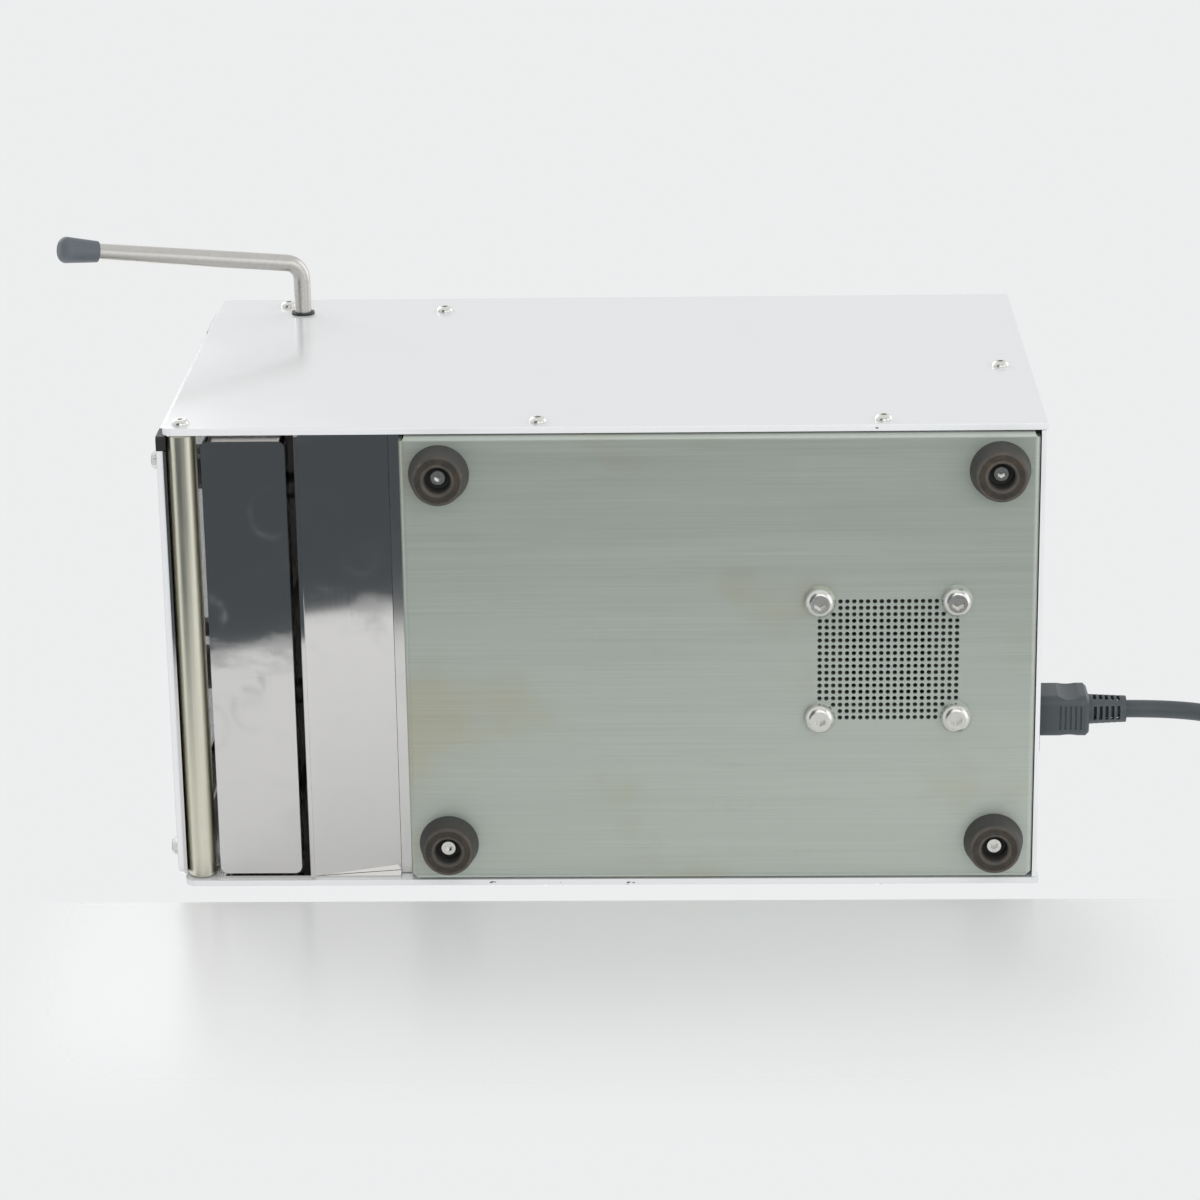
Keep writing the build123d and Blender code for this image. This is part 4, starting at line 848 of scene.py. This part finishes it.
class PADDLE_OT_power(bpy.types.Operator):
    """Inlet, switch and what stands behind them"""

    bl_idname = "paddle.power"
    bl_label = "Power side"

    def execute(self, context):
        settings = context.scene.paddle_finish
        dress(moulded("inlet_plastic", settings.plastic), "power_inlet", "switch_rocker")
        dress(turned_metal("standoff_brass", (0.70, 0.52, 0.24)), "board_standoffs")
        dress(turned_metal("pin_brass", (0.78, 0.66, 0.42), 0.22), "plug_pins")
        dress(moulded("connector_plastic", settings.lead, 0.4), "cord_connector", "mains_plug")
        return {"FINISHED"}


class PADDLE_OT_lead(bpy.types.Operator):
    """The mains lead: out of its relief, down to the bench and into a put-away coil"""

    bl_idname = "paddle.lead"
    bl_label = "Mains lead"

    def execute(self, context):
        lead = context.scene.paddle_lead
        route = [
            (-40.1, 322.2, 45.0),
            (-40.1, 348.0, 45.0),
            (-41.0, 373.5, 31.6),
            (-41.6, 390.5, 7.8),
            (-41.6, 416.5, -6.5),
            (-41.6, 444.0, -6.5),
        ]
        points = [at(*p) for p in route] + self.coil(lead, at(*route[-1]))
        data = bpy.data.curves.new("mains_lead", "CURVE")
        data.dimensions = "3D"
        data.resolution_u = 12
        data.bevel_depth = lead.diameter / 2
        data.bevel_resolution = 6
        data.use_fill_caps = True
        spline = data.splines.new("NURBS")
        spline.points.add(len(points) - 1)
        for point, place in zip(spline.points, points):
            point.co = (*place, 1)
        spline.order_u = 3
        spline.use_endpoint_u = True
        flex = bpy.data.objects.new("mains_lead", data)
        bpy.context.scene.collection.objects.link(flex)
        data.materials.append(moulded("lead_sheath", context.scene.paddle_finish.lead, 0.36, depth=0.00001))
        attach(flex, "housing")
        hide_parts("cord_run", "cord_coil")
        return {"FINISHED"}

    def coil(self, lead, start):
        """Two layers of turns: they spiral in to the least radius, climb over half a turn and spiral out."""
        # A curve of order 3 runs inside its control points, by this factor on the radius.
        inside = 0.75 + 0.25 * math.cos(2 * math.pi / lead.per_turn)
        outer = lead.inner + lead.pitch * lead.turns / 2
        centre = start + Vector((outer, 0, 0))
        points = []
        for i in range(1, round(lead.turns * lead.per_turn) + 1):
            turn = i / lead.per_turn
            angle = math.pi * (1 - 2 * turn)
            radius = (lead.inner + lead.pitch * abs(turn - lead.turns / 2)) / inside
            climbed = min(max(turn - lead.turns / 2 + 0.25, 0) * 2, 1)
            rise = lead.pitch * climbed**2 * (3 - 2 * climbed)
            points.append(centre + Vector((radius * math.cos(angle), radius * math.sin(angle), rise)))
        angle = math.pi * (1 - 2 * lead.turns)
        end = centre + Vector((outer * math.cos(angle), outer * math.sin(angle), lead.pitch))
        way = Vector((math.sin(angle), -math.cos(angle), 0))
        points[-1] = end
        return [*points, end + way * lead.tail / 2, end + way * lead.tail]


class PADDLE_PT_panel(bpy.types.Panel):
    """Lists the machine's pieces in the order they are made"""

    bl_idname = "PADDLE_PT_panel"
    bl_label = "Paddle blender"
    bl_space_type = "VIEW_3D"
    bl_region_type = "UI"
    bl_category = "Paddle blender"

    def draw(self, context):
        for operator in operators:
            self.layout.operator(operator.bl_idname)
        for group, kind in settings_groups.items():
            for name in kind.__annotations__:
                self.layout.prop(getattr(context.scene, group), name)


operators = (
    PADDLE_OT_stage,
    PADDLE_OT_lead,
    PADDLE_OT_casing,
    PADDLE_OT_chamber,
    PADDLE_OT_door,
    PADDLE_OT_lever,
    PADDLE_OT_drive,
    PADDLE_OT_controls,
    PADDLE_OT_marks,
    PADDLE_OT_power,
)
settings_groups = {
    "paddle_view": ViewSettings,
    "paddle_lights": LightSettings,
    "paddle_finish": FinishSettings,
    "paddle_lead": LeadSettings,
}


def register():
    for group, kind in settings_groups.items():
        bpy.utils.register_class(kind)
        setattr(bpy.types.Scene, group, PointerProperty(type=kind))
    for kind in (*operators, PADDLE_PT_panel):
        bpy.utils.register_class(kind)


def unregister():
    for kind in (PADDLE_PT_panel, *reversed(operators)):
        bpy.utils.unregister_class(kind)
    for group, kind in settings_groups.items():
        delattr(bpy.types.Scene, group)
        bpy.utils.unregister_class(kind)


def main():
    register()
    for operator in operators:
        section, name = operator.bl_idname.split(".")
        getattr(getattr(bpy.ops, section), name)()


if __name__ == "__main__":
    main()
